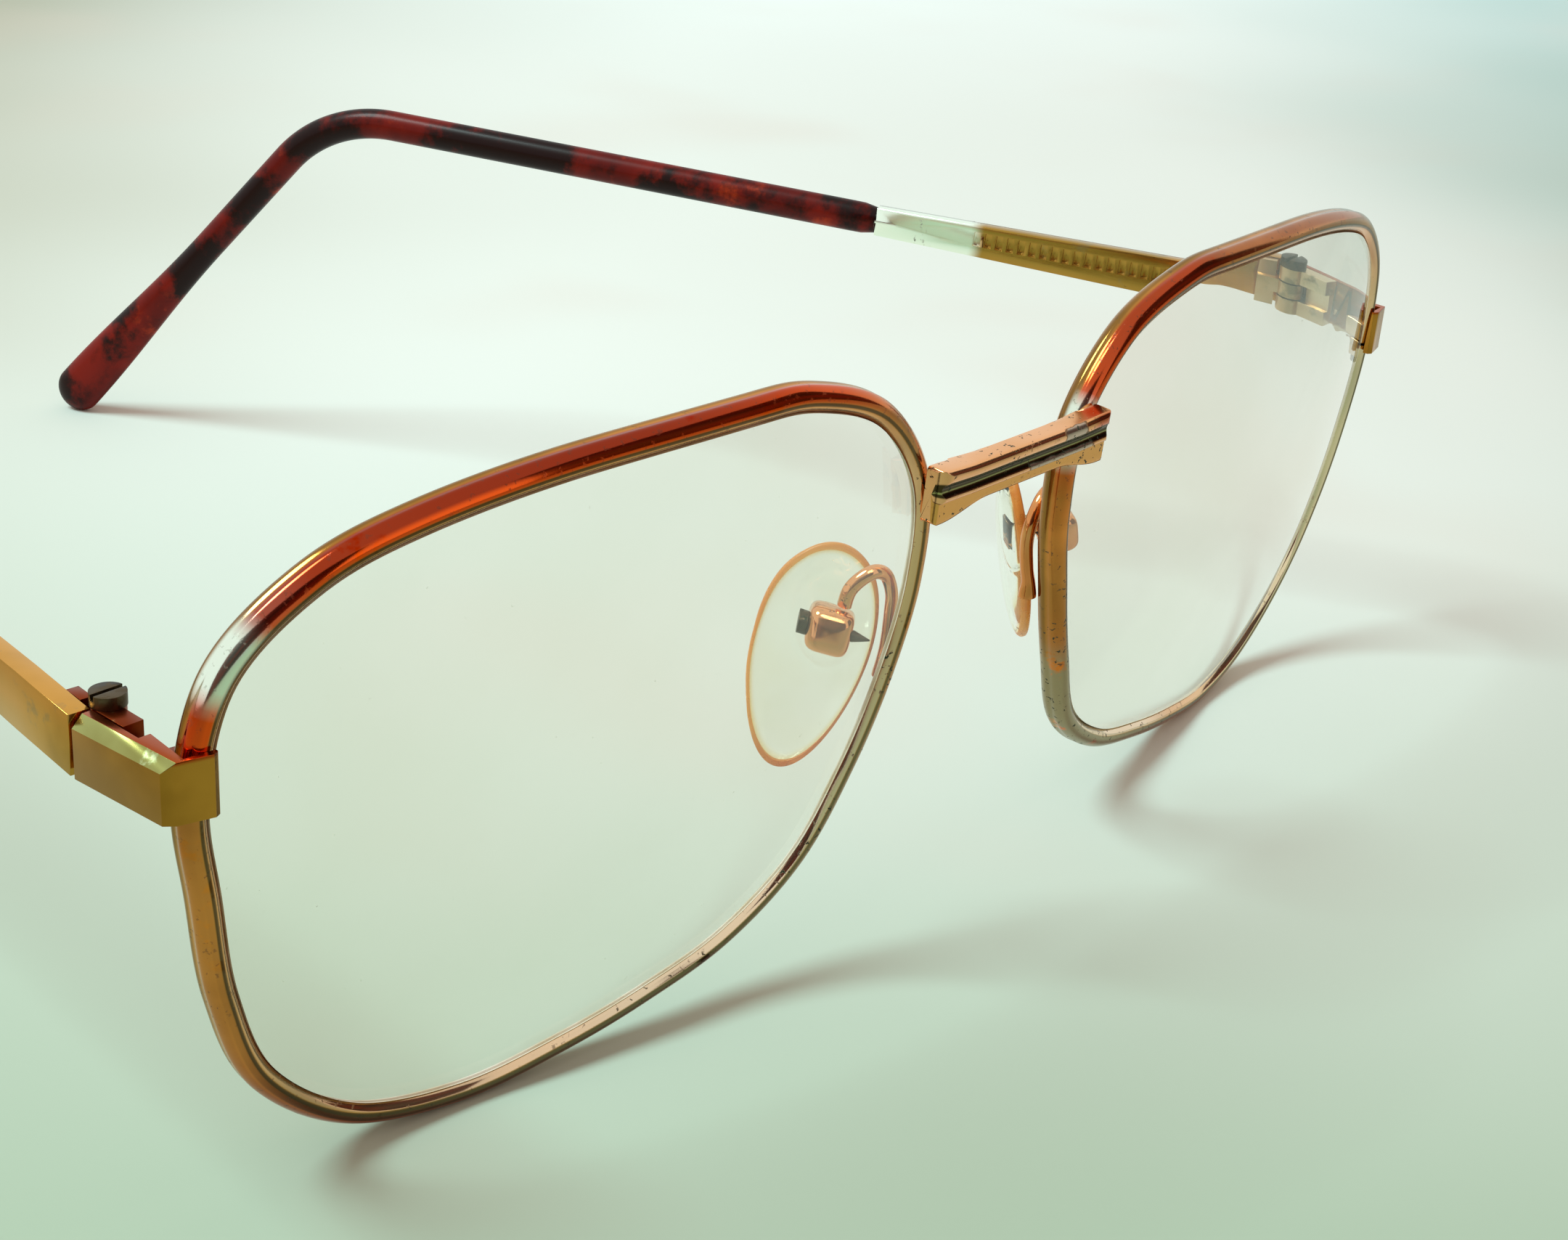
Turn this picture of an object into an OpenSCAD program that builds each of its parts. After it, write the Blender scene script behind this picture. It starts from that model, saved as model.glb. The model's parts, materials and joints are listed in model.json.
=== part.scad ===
// Full-rim metal spectacles with adjustable nose pads, lying open on a table.
// +X is the wearer's left, +Y runs back along the temples, +Z is up.
// The rims' lowest points and both ear tips stand on z = 0.

/* [Lenses] */
// Width of one rim, measured between the middles of its wire
lens_w = 54; // [46:0.5:60]
// Height of one rim, measured between the middles of its wire
lens_h = 44.6; // [36:0.2:50]
// Distance between the two rims at the nose, middle of wire to middle of wire
bridge_w = 17; // [14:0.2:22]
// Radius of the curve that lens and rim are bent to
base_r = 130; // [90:5:200]
// Height of the curve's foremost point above the middle of the lens
apex_up = 6; // [0:0.5:8]
// Angle that each rim turns back towards its temple
wrap = 6.5; // [0:0.5:10]
// Thickness of the lens at its edge
lens_edge_t = 1.6; // [1.2:0.1:1.9]
// How much thicker the lens is at its middle
lens_crown = 0.8; // [0:0.1:2]

/* [Rims] */
// Width of the rim wire, seen from the front
rim_w = 1.7; // [1.4:0.1:2.2]
// Depth of the rim wire, front to back
rim_d = 2.3; // [2:0.1:3]
// Depth of the groove that holds the lens
groove_depth = 0.5; // [0.3:0.05:0.6]
// Width of that groove at its mouth
groove_w = 1; // [0.8:0.1:1.2]
// Lean of the front over the temples
front_tilt = 3.5; // [0:0.5:10]

/* [Bridge] */
// Height of the bridge bar at its ends
bridge_h = 3.5; // [3:0.1:5]
// Depth of the bridge bar in front of the rims
bridge_d = 1.7; // [1.4:0.1:2.2]
// Height of the bridge's top over the foremost point of the lens
bridge_top = 8.3; // [6:0.1:10]
// How far the underside of the bridge rises towards the nose
bridge_rise = 0.9; // [0:0.1:1.2]

/* [End pieces and hinges] */
// Height of the end piece and of the temple at the hinge
joint_h = 3.8; // [3.4:0.1:4.6]
// Height of the hinge's middle over the foremost point of the lens
joint_up = 1.6; // [0:0.1:3]
// Distance of the end piece's outer face outside the middle of the rim wire, at the hinge
cheek_out = 2.7; // [2.6:0.1:4]
// Distance of the hinge screw behind the middle of the rim wire
hinge_back = 6.5; // [6.2:0.1:9]
// Angle that the end piece flares out on its way back
flare = 3; // [0:0.5:5]
// Thickness of the end piece and of the temple bar
bar_t = 1.3; // [1:0.1:1.8]
// Radius of the hinge knuckles
knuckle_r = 1; // [0.9:0.05:1.4]
// Radius of the hinge screw's shank
hinge_screw_r = 0.55; // [0.4:0.05:0.6]
// Radius of the hinge screw's head
hinge_head_r = 1.05; // [0.9:0.05:1.1]
// Height of the hinge screw's head
hinge_head_h = 0.8; // [0.5:0.1:1.2]

/* [Temples] */
// How far the left temple is folded in
left_fold = 26; // [0:1:30]
// How far the right temple is folded in
right_fold = 5; // [0:1:30]
// Length of the temple from the hinge to the start of the ear bend
temple_len = 88.5; // [75:0.5:105]
// Length of the bare metal from the hinge to the plastic ear tip
metal_len = 39.5; // [34:0.5:55]
// Height of the metal bar where it enters the ear tip
bar_end_h = 2.6; // [2.2:0.1:2.8]
// Upward slope of the straight part
temple_rise = 3.1; // [0:0.1:5]
// Downward slope of the part behind the ear
ear_drop = 48.5; // [35:1:60]
// Radius of the ear bend
ear_bend_r = 14; // [10:1:24]
// Height of the plastic ear tip along its straight part
sleeve_h = 2.9; // [2.7:0.1:4]
// Thickness of the plastic ear tip
sleeve_t = 2.5; // [2.3:0.1:4]
// Width of the paddle at the end of the ear tip
paddle_w = 4.8; // [4:0.1:8]
// Radius of the core wire inside the ear tip
core_r = 0.7; // [0.5:0.05:0.9]
// Number of cells pressed into the inner face of the bar
cell_count = 18; // [0:1:24]

/* [Nose pads] */
// Width of the pad
pad_w = 7.7; // [7:0.1:10]
// Height of the pad
pad_h = 15.8; // [13:0.1:18]
// Thickness of the pad at its middle
pad_t = 1.4; // [1:0.1:2]
// Diameter of the pad arm's wire
arm_d = 1; // [0.8:0.1:1.2]
// Angle that the pads open towards the face
pad_splay = 50; // [45:1:58]
// Angle that the pads lean in at the bottom
pad_lean = -14; // [-18:1:-5]
// Angle that pad and box are turned in their own plane
pad_roll = -8; // [-15:1:5]
// Width of the pad box along its screw
box_w = 3.1; // [2.9:0.1:4]
// Height of the pad box
box_h = 3.1; // [2.9:0.1:4]
// Radius of the pad screw's shank
pad_screw_r = 0.4; // [0.3:0.05:0.5]

/* [Hidden] */
$fn = 48;

// Clearances
run_gap = 0.04;    // a shank in its bore
face_gap = 0.06;   // half the gap between faces that slide or meet at a stop
lens_gap = 0.05;   // lens to rim
side_gap = 0.12;   // knuckle to the bar beside it
seat_gap = 0.05;   // brazed faces

// Outline of the wire's middle as shares of half the width and half the height,
// starting at the split beside the temple and running over the top.
OUTLINE = [
    [1, 0.27], [0.94, 0.58], [0.76, 0.79], [0.53, 0.9], [0.17, 0.97], [-0.32, 0.99], [-0.56, 0.97],
    [-0.81, 0.85], [-0.98, 0.59], [-1, 0.27], [-0.94, -0.04], [-0.85, -0.33], [-0.72, -0.62],
    [-0.5, -0.81], [-0.24, -0.9], [0.01, -0.96], [0.29, -1], [0.58, -0.93], [0.81, -0.69],
    [0.92, -0.37], [0.97, -0.04]
];
OUTLINE_STEPS = 4;
SPLIT = 0.02;      // half the split of the rim at its lock, in outline steps

// Closed curve through the outline's points (each span is a cubic)
function wrapped(list, i) = list[(i + len(list)) % len(list)];
function cubic(a, b, c, d, t) = (2*b + (c-a)*t + (2*a-5*b+4*c-d)*t*t + (3*b-a-3*c+d)*t*t*t) / 2;
function outline_at(s) = let (i = floor(s), t = s - i)
    cubic(wrapped(OUTLINE, i-1), wrapped(OUTLINE, i), wrapped(OUTLINE, i+1), wrapped(OUTLINE, i+2), t);
function outline_uv(s) = let (p = outline_at(s)) [p.x * lens_w/2, p.y * lens_h/2];
function unit(v) = v / norm(v);
function outward(s) = let (t = unit(outline_uv(s + 0.02) - outline_uv(s - 0.02))) [t.y, -t.x];

// Depth of the bent surface behind its foremost point
function sag(u, v) = base_r - sqrt(base_r*base_r - u*u - (v-apex_up)*(v-apex_up));

// A point that stands off the wire's middle by n outwards and b backwards, in the lens's own frame
function rim_point(s, n, b) = let (p = outline_uv(s), q = p + n * outward(s)) [q.x, sag(p.x, p.y) + b, q.y];

// The lens's own frame (x to the temple, y back, z up) in the frame of the front
lens_dx = lens_w/2 + bridge_w/2;
function lens_to_front(p) = [
    lens_dx + p.x*cos(wrap) - p.y*sin(wrap),
    p.x*sin(wrap) + p.y*cos(wrap),
    p.z - apex_up
];
function tilted_y(p) = p.y*cos(front_tilt) - p.z*sin(front_tilt);
function tilted_z(p) = p.y*sin(front_tilt) + p.z*cos(front_tilt);

// Section of the rim wire: n outwards, b backwards; oval outside with a fine dent along its
// middle, and lips on both sides of the lens groove inside
round_from = -0.2;
dent = 0.1;
lip = rim_d*0.36;
lip_cut = 0.15;
RIM_SECTION = concat(
    [for (a = [90:-22.5:-90])
        [round_from + (rim_w/2 - round_from)*cos(a) - (a == 0 ? dent : 0), rim_d/2*sin(a)]],
    [[lip_cut - rim_w/2, -lip], [-rim_w/2, -groove_w/2], [groove_depth - rim_w/2, 0]],
    [[-rim_w/2, groove_w/2], [lip_cut - rim_w/2, lip]]
);

// Where the whole front stands: its lowest rim point on the table
rim_steps = len(OUTLINE) * OUTLINE_STEPS;
rim_low = min([for (k = [0:rim_steps-1], q = RIM_SECTION)
    tilted_z(lens_to_front(rim_point(k/OUTLINE_STEPS, q.x, q.y)))]);
front_z = -rim_low;

// The rim's split, and the hinge axis behind it
lock_uv = outline_uv(0);
lock_y = sag(lock_uv.x, lock_uv.y);
rim_side = lens_to_front([lock_uv.x, lock_y, lock_uv.y]);
bar_in = knuckle_r + side_gap;
bar_out = bar_in + bar_t;
hinge_x = rim_side.x + cheek_out - bar_out;
hinge_y = rim_side.y + hinge_back;
hinge_z = front_z + joint_up;
function fold_of(side) = side > 0 ? left_fold : right_fold;

// Temple line in its own upright plane: distance from the hinge, and height over the hinge
bend_angle = temple_rise + ear_drop;
bend_start = temple_len * [cos(temple_rise), sin(temple_rise)];
bend_end = bend_start + ear_bend_r * [sin(temple_rise) + sin(ear_drop), cos(ear_drop) - cos(temple_rise)];
bend_steps = 8;

// The ear tip runs down until its paddle stands on the table
ear_len = (hinge_z + bend_end.y - paddle_w/2) / sin(ear_drop);
ear_end = bend_end + ear_len * [cos(ear_drop), -sin(ear_drop)];

// The part is centred front to back between the bridge and the farther ear tip
function tip_y(side) = hinge_y + (ear_end.x + paddle_w/2)*cos(fold_of(side))
    + (bar_in + bar_t/2)*sin(fold_of(side));
bridge_back = -rim_d/2 - 5*seat_gap;
front_y = tilted_y([0, bridge_back - bridge_d, bridge_top]);
back_y = max(tip_y(1), tip_y(-1));
y_shift = -(front_y + back_y) / 2;

// ---------- shared shapes ----------

// Solid through closed rings of points, capped at both ends
module skin(rings) {
    n = len(rings[0]);
    m = len(rings);
    polyhedron(
        points = [for (r = rings, p = r) p],
        faces = concat(
            [[for (j = [n-1:-1:0]) j]],
            [for (i = [0:m-2], j = [0:n-1]) [i*n + j, i*n + (j+1)%n, (i+1)*n + j]],
            [for (i = [0:m-2], j = [0:n-1]) [i*n + (j+1)%n, (i+1)*n + (j+1)%n, (i+1)*n + j]],
            [[for (j = [0:n-1]) (m-1)*n + j]]
        ),
        convexity = 8
    );
}

// The frame of the front, and of one lens, for the left side
module in_front() translate([0, y_shift, front_z]) rotate([front_tilt, 0, 0]) children();
module in_lens() in_front() translate([lens_dx, 0, -apex_up]) rotate([0, 0, wrap]) children();
module on_side(side) mirror([side < 0 ? 1 : 0, 0, 0]) children();

// The hinge's upright frame: x outwards, y back
module at_hinge() translate([hinge_x, hinge_y + y_shift, hinge_z]) children();
module folded(side) at_hinge() rotate([0, 0, fold_of(side)]) children();

// ---------- rims and lenses ----------

module eyewire() {
    spans = [for (k = [0:rim_steps]) max(SPLIT, min(len(OUTLINE) - SPLIT, k/OUTLINE_STEPS))];
    in_lens() skin([for (s = spans) [for (q = RIM_SECTION) rim_point(s, q.x, q.y)]]);
}

// Lens: its edge runs in a ridge that stands in the rim's groove
module lens() {
    body_n = -rim_w/2 - lens_gap;
    ridge_n = body_n + groove_depth - lens_gap;
    ridge_b = groove_w/2 - 2*lens_gap;
    half_t = lens_edge_t/2;
    shares = [0.08, 0.36, 0.7];
    steps = [for (k = [0:rim_steps-1]) k/OUTLINE_STEPS];
    function ring(n, b) = [for (s = steps) rim_point(s, n, b)];
    function face_ring(share, b) = [for (s = steps)
        let (p = rim_point(s, body_n, 0), u = p.x*share, v = p.z*share) [u, sag(u, v) + b, v]];
    function crown(share) = half_t + lens_crown*(1 - share*share);
    in_lens() skin(concat(
        [for (f = shares) face_ring(f, -crown(f))],
        [ring(body_n, -half_t), ring(body_n, -ridge_b), ring(ridge_n, 0)],
        [ring(body_n, ridge_b), ring(body_n, half_t)],
        [for (f = [2:-1:0]) face_ring(shares[f], half_t)]
    ));
}

// ---------- bridge ----------

module bridge() {
    half_len = bridge_w/2 + rim_w/2 + 0.15;
    waist = 1;
    nose_r = 0.9;
    deep_half = bridge_w/2 - rim_w/2 - 0.35;
    front = bridge_back - bridge_d;
    low = bridge_top - bridge_h;
    in_front() intersection() {
        rotate([90, 0, 90]) translate([0, 0, -half_len]) linear_extrude(2*half_len) polygon([
            [bridge_back + 0.6, low], [front + 0.45, low], [front + 0.45, bridge_top - 2.1],
            [front + 0.2, bridge_top - 1.9], [front + 0.15, bridge_top - 1.5],
            [front + 0.4, bridge_top - 1.1], [front, bridge_top - 0.6],
            [front + 0.15, bridge_top - 0.2], [front + 0.5, bridge_top],
            [bridge_back + 0.6, bridge_top - 0.1]
        ]);
        rotate([90, 0, 0]) translate([0, 0, -5]) linear_extrude(10) polygon([
            [-half_len, low], [-half_len + waist, low], [-half_len + 2*waist, low + bridge_rise],
            [half_len - 2*waist, low + bridge_rise], [half_len - waist, low], [half_len, low],
            [half_len, bridge_top], [-half_len, bridge_top]
        ]);
        translate([0, 0, low - 1]) linear_extrude(bridge_h + 2) union() {
            translate([-half_len + nose_r, front]) square([2*(half_len - nose_r), bridge_d]);
            translate([-half_len, front + nose_r]) square([2*half_len, bridge_d - nose_r]);
            for (x = [-1, 1]) translate([x*(half_len - nose_r), front + nose_r]) circle(nose_r);
            translate([-deep_half, bridge_back - 0.1]) square([2*deep_half, 0.7]);
        }
    }
}

// ---------- end piece, rim lock and hinge ----------

lug_t = 0.75;
lug_in = rim_side.x - rim_w/2;
lug_y = rim_side.y - rim_d/2 - seat_gap - lug_t;

// Bent strip: a lug across the rim's front, then a cheek that flares out and runs back to the hinge
module end_piece() {
    out = hinge_x + bar_out;
    inner = hinge_x + bar_in;
    corner_x = out - (hinge_y - lug_y)*tan(flare);
    slope = 0.65;
    beside = rim_side.y + rim_d/2 + 1;
    bevel = 0.7;
    difference() {
        translate([0, y_shift, hinge_z]) intersection() {
            translate([0, 0, -joint_h/2]) linear_extrude(joint_h) polygon([
                [lug_in, beside], [lug_in, lug_y + 0.2], [lug_in + 0.4, lug_y],
                [corner_x - 0.6, lug_y + slope - 0.1], [corner_x, lug_y + slope + 0.4],
                [out, hinge_y - face_gap], [inner, hinge_y - face_gap], [inner, beside]
            ]);
            translate([out, hinge_y, 0]) rotate([90, 0, -flare])
                translate([0, 0, -1]) linear_extrude(hinge_y + 2) polygon([
                    [-9, -joint_h], [1, -joint_h], [1, joint_h/2 - bevel - 1], [-bevel, joint_h/2], [-9, joint_h/2]
                ]);
        }
        in_lens() translate([lock_uv.x - 6, lock_y - rim_d/2 - seat_gap, -lens_h])
            cube([6 + rim_w/2 + seat_gap, 8, 2*lens_h]);
    }
}

block_w = 1.5;
block_d = 1.5;
block_h = 1.45;
rim_screw_r = 0.4;
rim_head_h = 0.5;

// The rim lock stands behind the rim, above and below its split: x outwards, y back, z up
module at_rim_lock() in_lens()
    translate([lock_uv.x + rim_w/2 - 0.2 - block_w, lock_y + rim_d/2 + seat_gap, lock_uv.y]) children();

module upper_block() at_rim_lock() difference() {
    translate([0, 0, face_gap]) cube([block_w, block_d, block_h]);
    translate([block_w/2, block_d/2, 0]) cylinder(h = block_h - 0.3, r = rim_screw_r + run_gap);
}

module lower_block() at_rim_lock() difference() {
    translate([0, 0, -face_gap - block_h]) cube([block_w, block_d, block_h]);
    translate([block_w/2, block_d/2, -block_h - 1]) cylinder(h = block_h + 2, r = rim_screw_r + run_gap);
}

module rim_screw() at_rim_lock() translate([block_w/2, block_d/2, -block_h - face_gap]) difference() {
    union() {
        cylinder(h = 2*block_h - 0.3, r = rim_screw_r);
        translate([0, 0, -rim_head_h]) cylinder(h = rim_head_h, r = block_w/2 - 0.02);
    }
    translate([-1, -0.1, -rim_head_h - 0.1]) cube([2, 0.2, 0.3]);
}

knuckle_h = (joint_h - 4*face_gap) / 3;
leaf_len = 2.8;
leaf_clear = knuckle_r + 0.25;
leaf_t = 0.75;

// One knuckle of the hinge with the tongue that joins it to its leaf
module knuckle(z, back) translate([0, 0, z]) {
    cylinder(h = knuckle_h, r = knuckle_r);
    translate([knuckle_r - 1.3, back ? 0 : -leaf_len, 0]) cube([1.3, leaf_len, knuckle_h]);
}

module leaf(back) translate([knuckle_r - leaf_t, back ? leaf_clear : -leaf_len, -joint_h/2])
    cube([leaf_t, leaf_len - leaf_clear, joint_h]);

module hinge_bore() translate([0, 0, -joint_h]) cylinder(h = 2*joint_h, r = hinge_screw_r + run_gap);

// The front's half of the hinge has the outer two knuckles
module front_hinge() at_hinge() difference() {
    union() {
        knuckle(-joint_h/2, false);
        knuckle(joint_h/2 - knuckle_h, false);
        leaf(false);
    }
    hinge_bore();
}

// The temple's half has the middle knuckle
module temple_hinge(side) folded(side) difference() {
    union() {
        knuckle(-knuckle_h/2, true);
        leaf(true);
    }
    hinge_bore();
}

module hinge_screw() at_hinge() difference() {
    union() {
        translate([0, 0, -joint_h/2 + 0.1]) cylinder(h = joint_h, r = hinge_screw_r);
        translate([0, 0, joint_h/2]) cylinder(h = hinge_head_h, r = hinge_head_r);
    }
    translate([-2, -0.15, joint_h/2 + hinge_head_h - 0.35]) cube([4, 0.3, 1]);
}

// ---------- temples ----------

// The upright plane of the temple: x along it, y up, and its thickness centred on the bar
module in_temple_plane(side) folded(side)
    translate([bar_in + bar_t/2, 0, 0]) rotate([90, 0, 90]) children();

// Stations of the temple line, each a place in the plane and the slope there
function straight_at(d) = [d*[cos(temple_rise), sin(temple_rise)], temple_rise];
function bend_at(f) = let (a = temple_rise - bend_angle*f)
    [bend_start + ear_bend_r*[sin(temple_rise) - sin(a), cos(a) - cos(temple_rise)], a];
function ear_at(f) = [bend_end + (ear_end - bend_end)*f, -ear_drop];

// Oval section square to the line at a station
function oval(station, half_h, half_t, sides) = [for (j = [0:sides-1])
    let (a = -360*j/sides, h = half_h*cos(a), w = half_t*sin(a))
    [station[0].x - h*sin(station[1]), station[0].y + h*cos(station[1]), w]];

// Core wire: straight, round the ear bend and down
module core(r, reach) {
    line = concat(
        [straight_at(metal_len - 2), straight_at(temple_len)],
        [for (i = [1:bend_steps]) bend_at(i/bend_steps)],
        [ear_at(reach)]
    );
    skin([for (station = line) oval(station, r, r, 8)]);
}

module temple_bar(side) {
    cell_pitch = 1.05;
    cell_w = 0.62;
    plain_len = 9;
    cell_start = metal_len - plain_len - cell_pitch*cell_count;
    cell_h = 1.3;
    cell_deep = 0.25;
    bevel = 0.5;
    in_temple_plane(side) union() {
        difference() {
            rotate([0, 0, temple_rise]) translate([0, 0, -bar_t/2]) linear_extrude(bar_t) polygon([
                [face_gap, -joint_h/2], [6, -joint_h/2], [metal_len, -bar_end_h/2],
                [metal_len, bar_end_h/2], [6, joint_h/2], [face_gap, joint_h/2]
            ]);
            translate([-1, -joint_h, -bar_t]) cube([1 + face_gap, 2*joint_h, 2*bar_t]);
            for (i = [0:1:cell_count-1]) rotate([0, 0, temple_rise])
                translate([cell_start + i*cell_pitch, -cell_h/2 + 0.2, -bar_t/2 - 1])
                    cube([cell_w, cell_h, 1 + cell_deep]);
            rotate([0, 0, temple_rise]) translate([-1, joint_h/2 - bevel, bar_t/2])
                rotate([45, 0, 0]) cube([metal_len + 2, 2, 2]);
        }
        core(core_r, 0.7);
    }
}

// Plastic ear tip: oval sections along the temple line, widening into the paddle
module ear_tip(side) {
    start = metal_len + face_gap;
    hh = sleeve_h/2;
    ht = sleeve_t/2;
    ph = paddle_w/2;
    mouth = 0.1;
    sides = 14;
    widen_from = 0.35;
    function widen(f) = f < widen_from ? 0 : (1 - cos(180*(f - widen_from)/(1 - widen_from)))/2;
    in_temple_plane(side) difference() {
        skin(concat(
            [oval(straight_at(start), hh - mouth, ht - mouth, sides)],
            [for (i = [0:3]) oval(straight_at(start + 0.3 + (temple_len - start - 0.3)*i/3), hh, ht, sides)],
            [for (i = [1:bend_steps]) oval(bend_at(i/bend_steps), hh, ht, sides)],
            [for (i = [1:10]) oval(ear_at(i/10), hh + (ph - hh)*widen(i/10), ht, sides)],
            [for (a = [25:25:75]) oval(
                [ear_end + ph*sin(a)*[cos(ear_drop), -sin(ear_drop)], -ear_drop], ph*cos(a), ht*cos(a), sides)]
        ));
        core(core_r + run_gap, 0.72);
    }
}

// ---------- nose pads ----------

// Middle of the pad screw in the frame of the front, and the pad's own frame:
// x along the screw towards the temple, y to the nose, z up
box_at = [bridge_w/2 + 5, 3.2, -3.6];
module at_box() in_front() translate(box_at) in_pad_turn() children();
module in_pad_turn() rotate([pad_lean, 0, pad_splay]) rotate([0, pad_roll, 0]) children();

box_back = 1.5;
box_front = 1;
slot_w = box_w - 1.4;
boss_r = 0.9;
arm_foot = lens_to_front(rim_point(10, 0.5, rim_d/2 + seat_gap + arm_d/2));

// Route of the pad arm from the back of the rim, up and over, down to the box
ARM = [
    arm_foot + [0, 0, -0.6], arm_foot + [-0.1, 0, 0.5], arm_foot + [-0.5, 0.2, 1.9], arm_foot + [-0.8, 0.5, 4.1],
    arm_foot + [-0.5, 0.5, 5.6], arm_foot + [0.7, 0.6, 6.7], arm_foot + [2.1, 0.9, 6],
    box_at + [-1.4, -0.1, 2.1], box_at + [-1, -0.1, 1]
];
function clamped(i) = ARM[max(0, min(len(ARM) - 1, i))];
function arm_at(s) = let (i = min(len(ARM) - 2, floor(s)), t = s - i)
    cubic(clamped(i-1), clamped(i), clamped(i+1), clamped(i+2), t);

module pad_arm() {
    sides = 10;
    rings = [for (k = [0:3*(len(ARM)-1)])
        let (s = k/3, t = unit(arm_at(s + 0.01) - arm_at(s - 0.01)), a = unit(cross(t, [0.2, -1, 0.15])), b = cross(t, a))
        [for (j = [0:sides-1]) arm_at(s) + arm_d/2*(sin(360*j/sides)*a + cos(360*j/sides)*b)]];
    in_front() difference() {
        skin(rings);
        translate(box_at) in_pad_turn()
            translate([-box_w/2, -box_back - 1, -box_h]) cube([box_w, 5, 1.5*box_h + seat_gap]);
    }
}

// Folded box with a slot for the pad's boss
module pad_box() {
    round_r = 0.5;
    at_box() difference() {
        translate([0, box_front, 0]) rotate([90, 0, 0]) linear_extrude(box_front + box_back) union() {
            square([box_w - 2*round_r, box_h], center = true);
            square([box_w, box_h - 2*round_r], center = true);
            for (x = [-1, 1], z = [-1, 1])
                translate([x*(box_w/2 - round_r), z*(box_h/2 - round_r)]) circle(round_r);
        }
        translate([-slot_w/2, -boss_r - 0.15, -box_h/2 + 0.4]) cube([slot_w, 4, box_h - 0.8]);
        rotate([0, 90, 0]) translate([0, 0, -box_w]) cylinder(h = 2*box_w, r = pad_screw_r + run_gap);
    }
}

module pad_screw() {
    point_len = 1.3;
    at_box() rotate([0, 90, 0]) union() {
        translate([0, 0, -box_w/2 - 0.1]) cylinder(h = box_w + 0.1, r = pad_screw_r);
        translate([0, 0, -box_w/2 - 0.1 - point_len]) cylinder(h = point_len, r1 = 0.05, r2 = pad_screw_r);
        difference() {
            translate([0, 0, box_w/2]) cylinder(h = 0.55, r = 0.78);
            translate([-1, -0.12, box_w/2 + 0.3]) cube([2, 0.24, 1]);
        }
    }
}

// Clear pad: an egg outline, flat towards the box and domed towards the nose
pad_back = box_front + 1.3;
pad_down = 2.8;
pad_aside = 0.45;
pad_turn = 5;
function egg(a) = [pad_w/2*cos(a)*(1 + 0.13*sin(a)), pad_h/2*sin(a)];

module nose_pad() {
    edge_t = 0.6;
    sides = 36;
    function ring(share, y) = [for (j = [0:sides-1])
        let (p = egg(360*j/sides)*share, u = p.x + pad_aside, v = p.y - pad_down)
        [u*cos(pad_turn) - v*sin(pad_turn), y, u*sin(pad_turn) + v*cos(pad_turn)]];
    neck = 1.3;
    at_box() difference() {
        union() {
            skin([
                ring(0.96, pad_back), ring(1, pad_back + 0.15), ring(1, pad_back + edge_t), ring(0.9, pad_back + 0.93*pad_t),
                ring(0.6, pad_back + pad_t)
            ]);
            rotate([0, 90, 0]) translate([0, 0, -slot_w/2 + 0.15]) cylinder(h = slot_w - 0.3, r = boss_r);
            translate([-slot_w/2 + 0.15, 0, -neck/2]) cube([slot_w - 0.3, pad_back + 0.3, neck]);
        }
        rotate([0, 90, 0]) translate([0, 0, -box_w]) cylinder(h = 2*box_w, r = pad_screw_r + run_gap);
    }
}

// ---------- nodes ----------

gold = "goldenrod";
wire = "darkgoldenrod";
steel = "dimgray";
shell = "saddlebrown";

color(gold) bridge();
color(gold) on_side(1) eyewire();  // left_eyewire
color(gold) on_side(-1) eyewire();  // right_eyewire
color("lightcyan", 0.4) on_side(1) lens();  // left_lens
color("lightcyan", 0.4) on_side(-1) lens();  // right_lens
color(gold) on_side(1) end_piece();  // left_end_piece
color(gold) on_side(-1) end_piece();  // right_end_piece
color(wire) on_side(1) upper_block();  // left_upper_block
color(wire) on_side(-1) upper_block();  // right_upper_block
color(wire) on_side(1) lower_block();  // left_lower_block
color(wire) on_side(-1) lower_block();  // right_lower_block
color(steel) on_side(1) rim_screw();  // left_rim_screw
color(steel) on_side(-1) rim_screw();  // right_rim_screw
color(wire) on_side(1) front_hinge();  // left_front_hinge
color(wire) on_side(-1) front_hinge();  // right_front_hinge
color(steel) on_side(1) hinge_screw();  // left_hinge_screw
color(steel) on_side(-1) hinge_screw();  // right_hinge_screw
color(wire) on_side(1) temple_hinge(1);  // left_temple_hinge
color(wire) on_side(-1) temple_hinge(-1);  // right_temple_hinge
color(gold) on_side(1) temple_bar(1);  // left_temple_bar
color(gold) on_side(-1) temple_bar(-1);  // right_temple_bar
color(shell) on_side(1) ear_tip(1);  // left_ear_tip
color(shell) on_side(-1) ear_tip(-1);  // right_ear_tip
color(wire) on_side(1) pad_arm();  // left_pad_arm
color(wire) on_side(-1) pad_arm();  // right_pad_arm
color(gold) on_side(1) pad_box();  // left_pad_box
color(gold) on_side(-1) pad_box();  // right_pad_box
color(steel) on_side(1) pad_screw();  // left_pad_screw
color(steel) on_side(-1) pad_screw();  // right_pad_screw
color("linen", 0.6) on_side(1) nose_pad();  // left_nose_pad
color("linen", 0.6) on_side(-1) nose_pad();  // right_nose_pad
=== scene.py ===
# %% [markdown]
# # Gold-plated spectacles, worn and lying open
# This lesson dresses a finished metal frame: two rims, a bridge, two temples with plastic ear
# tips, two clear nose pads and their small fittings. The solid model gives every place and size.
# Here each smooth piece is worked out again as a fine surface, each small fitting gets soft
# edges, and every piece gets a finish that is made of nodes.

# %% Load the solid model
import json
import math

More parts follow.
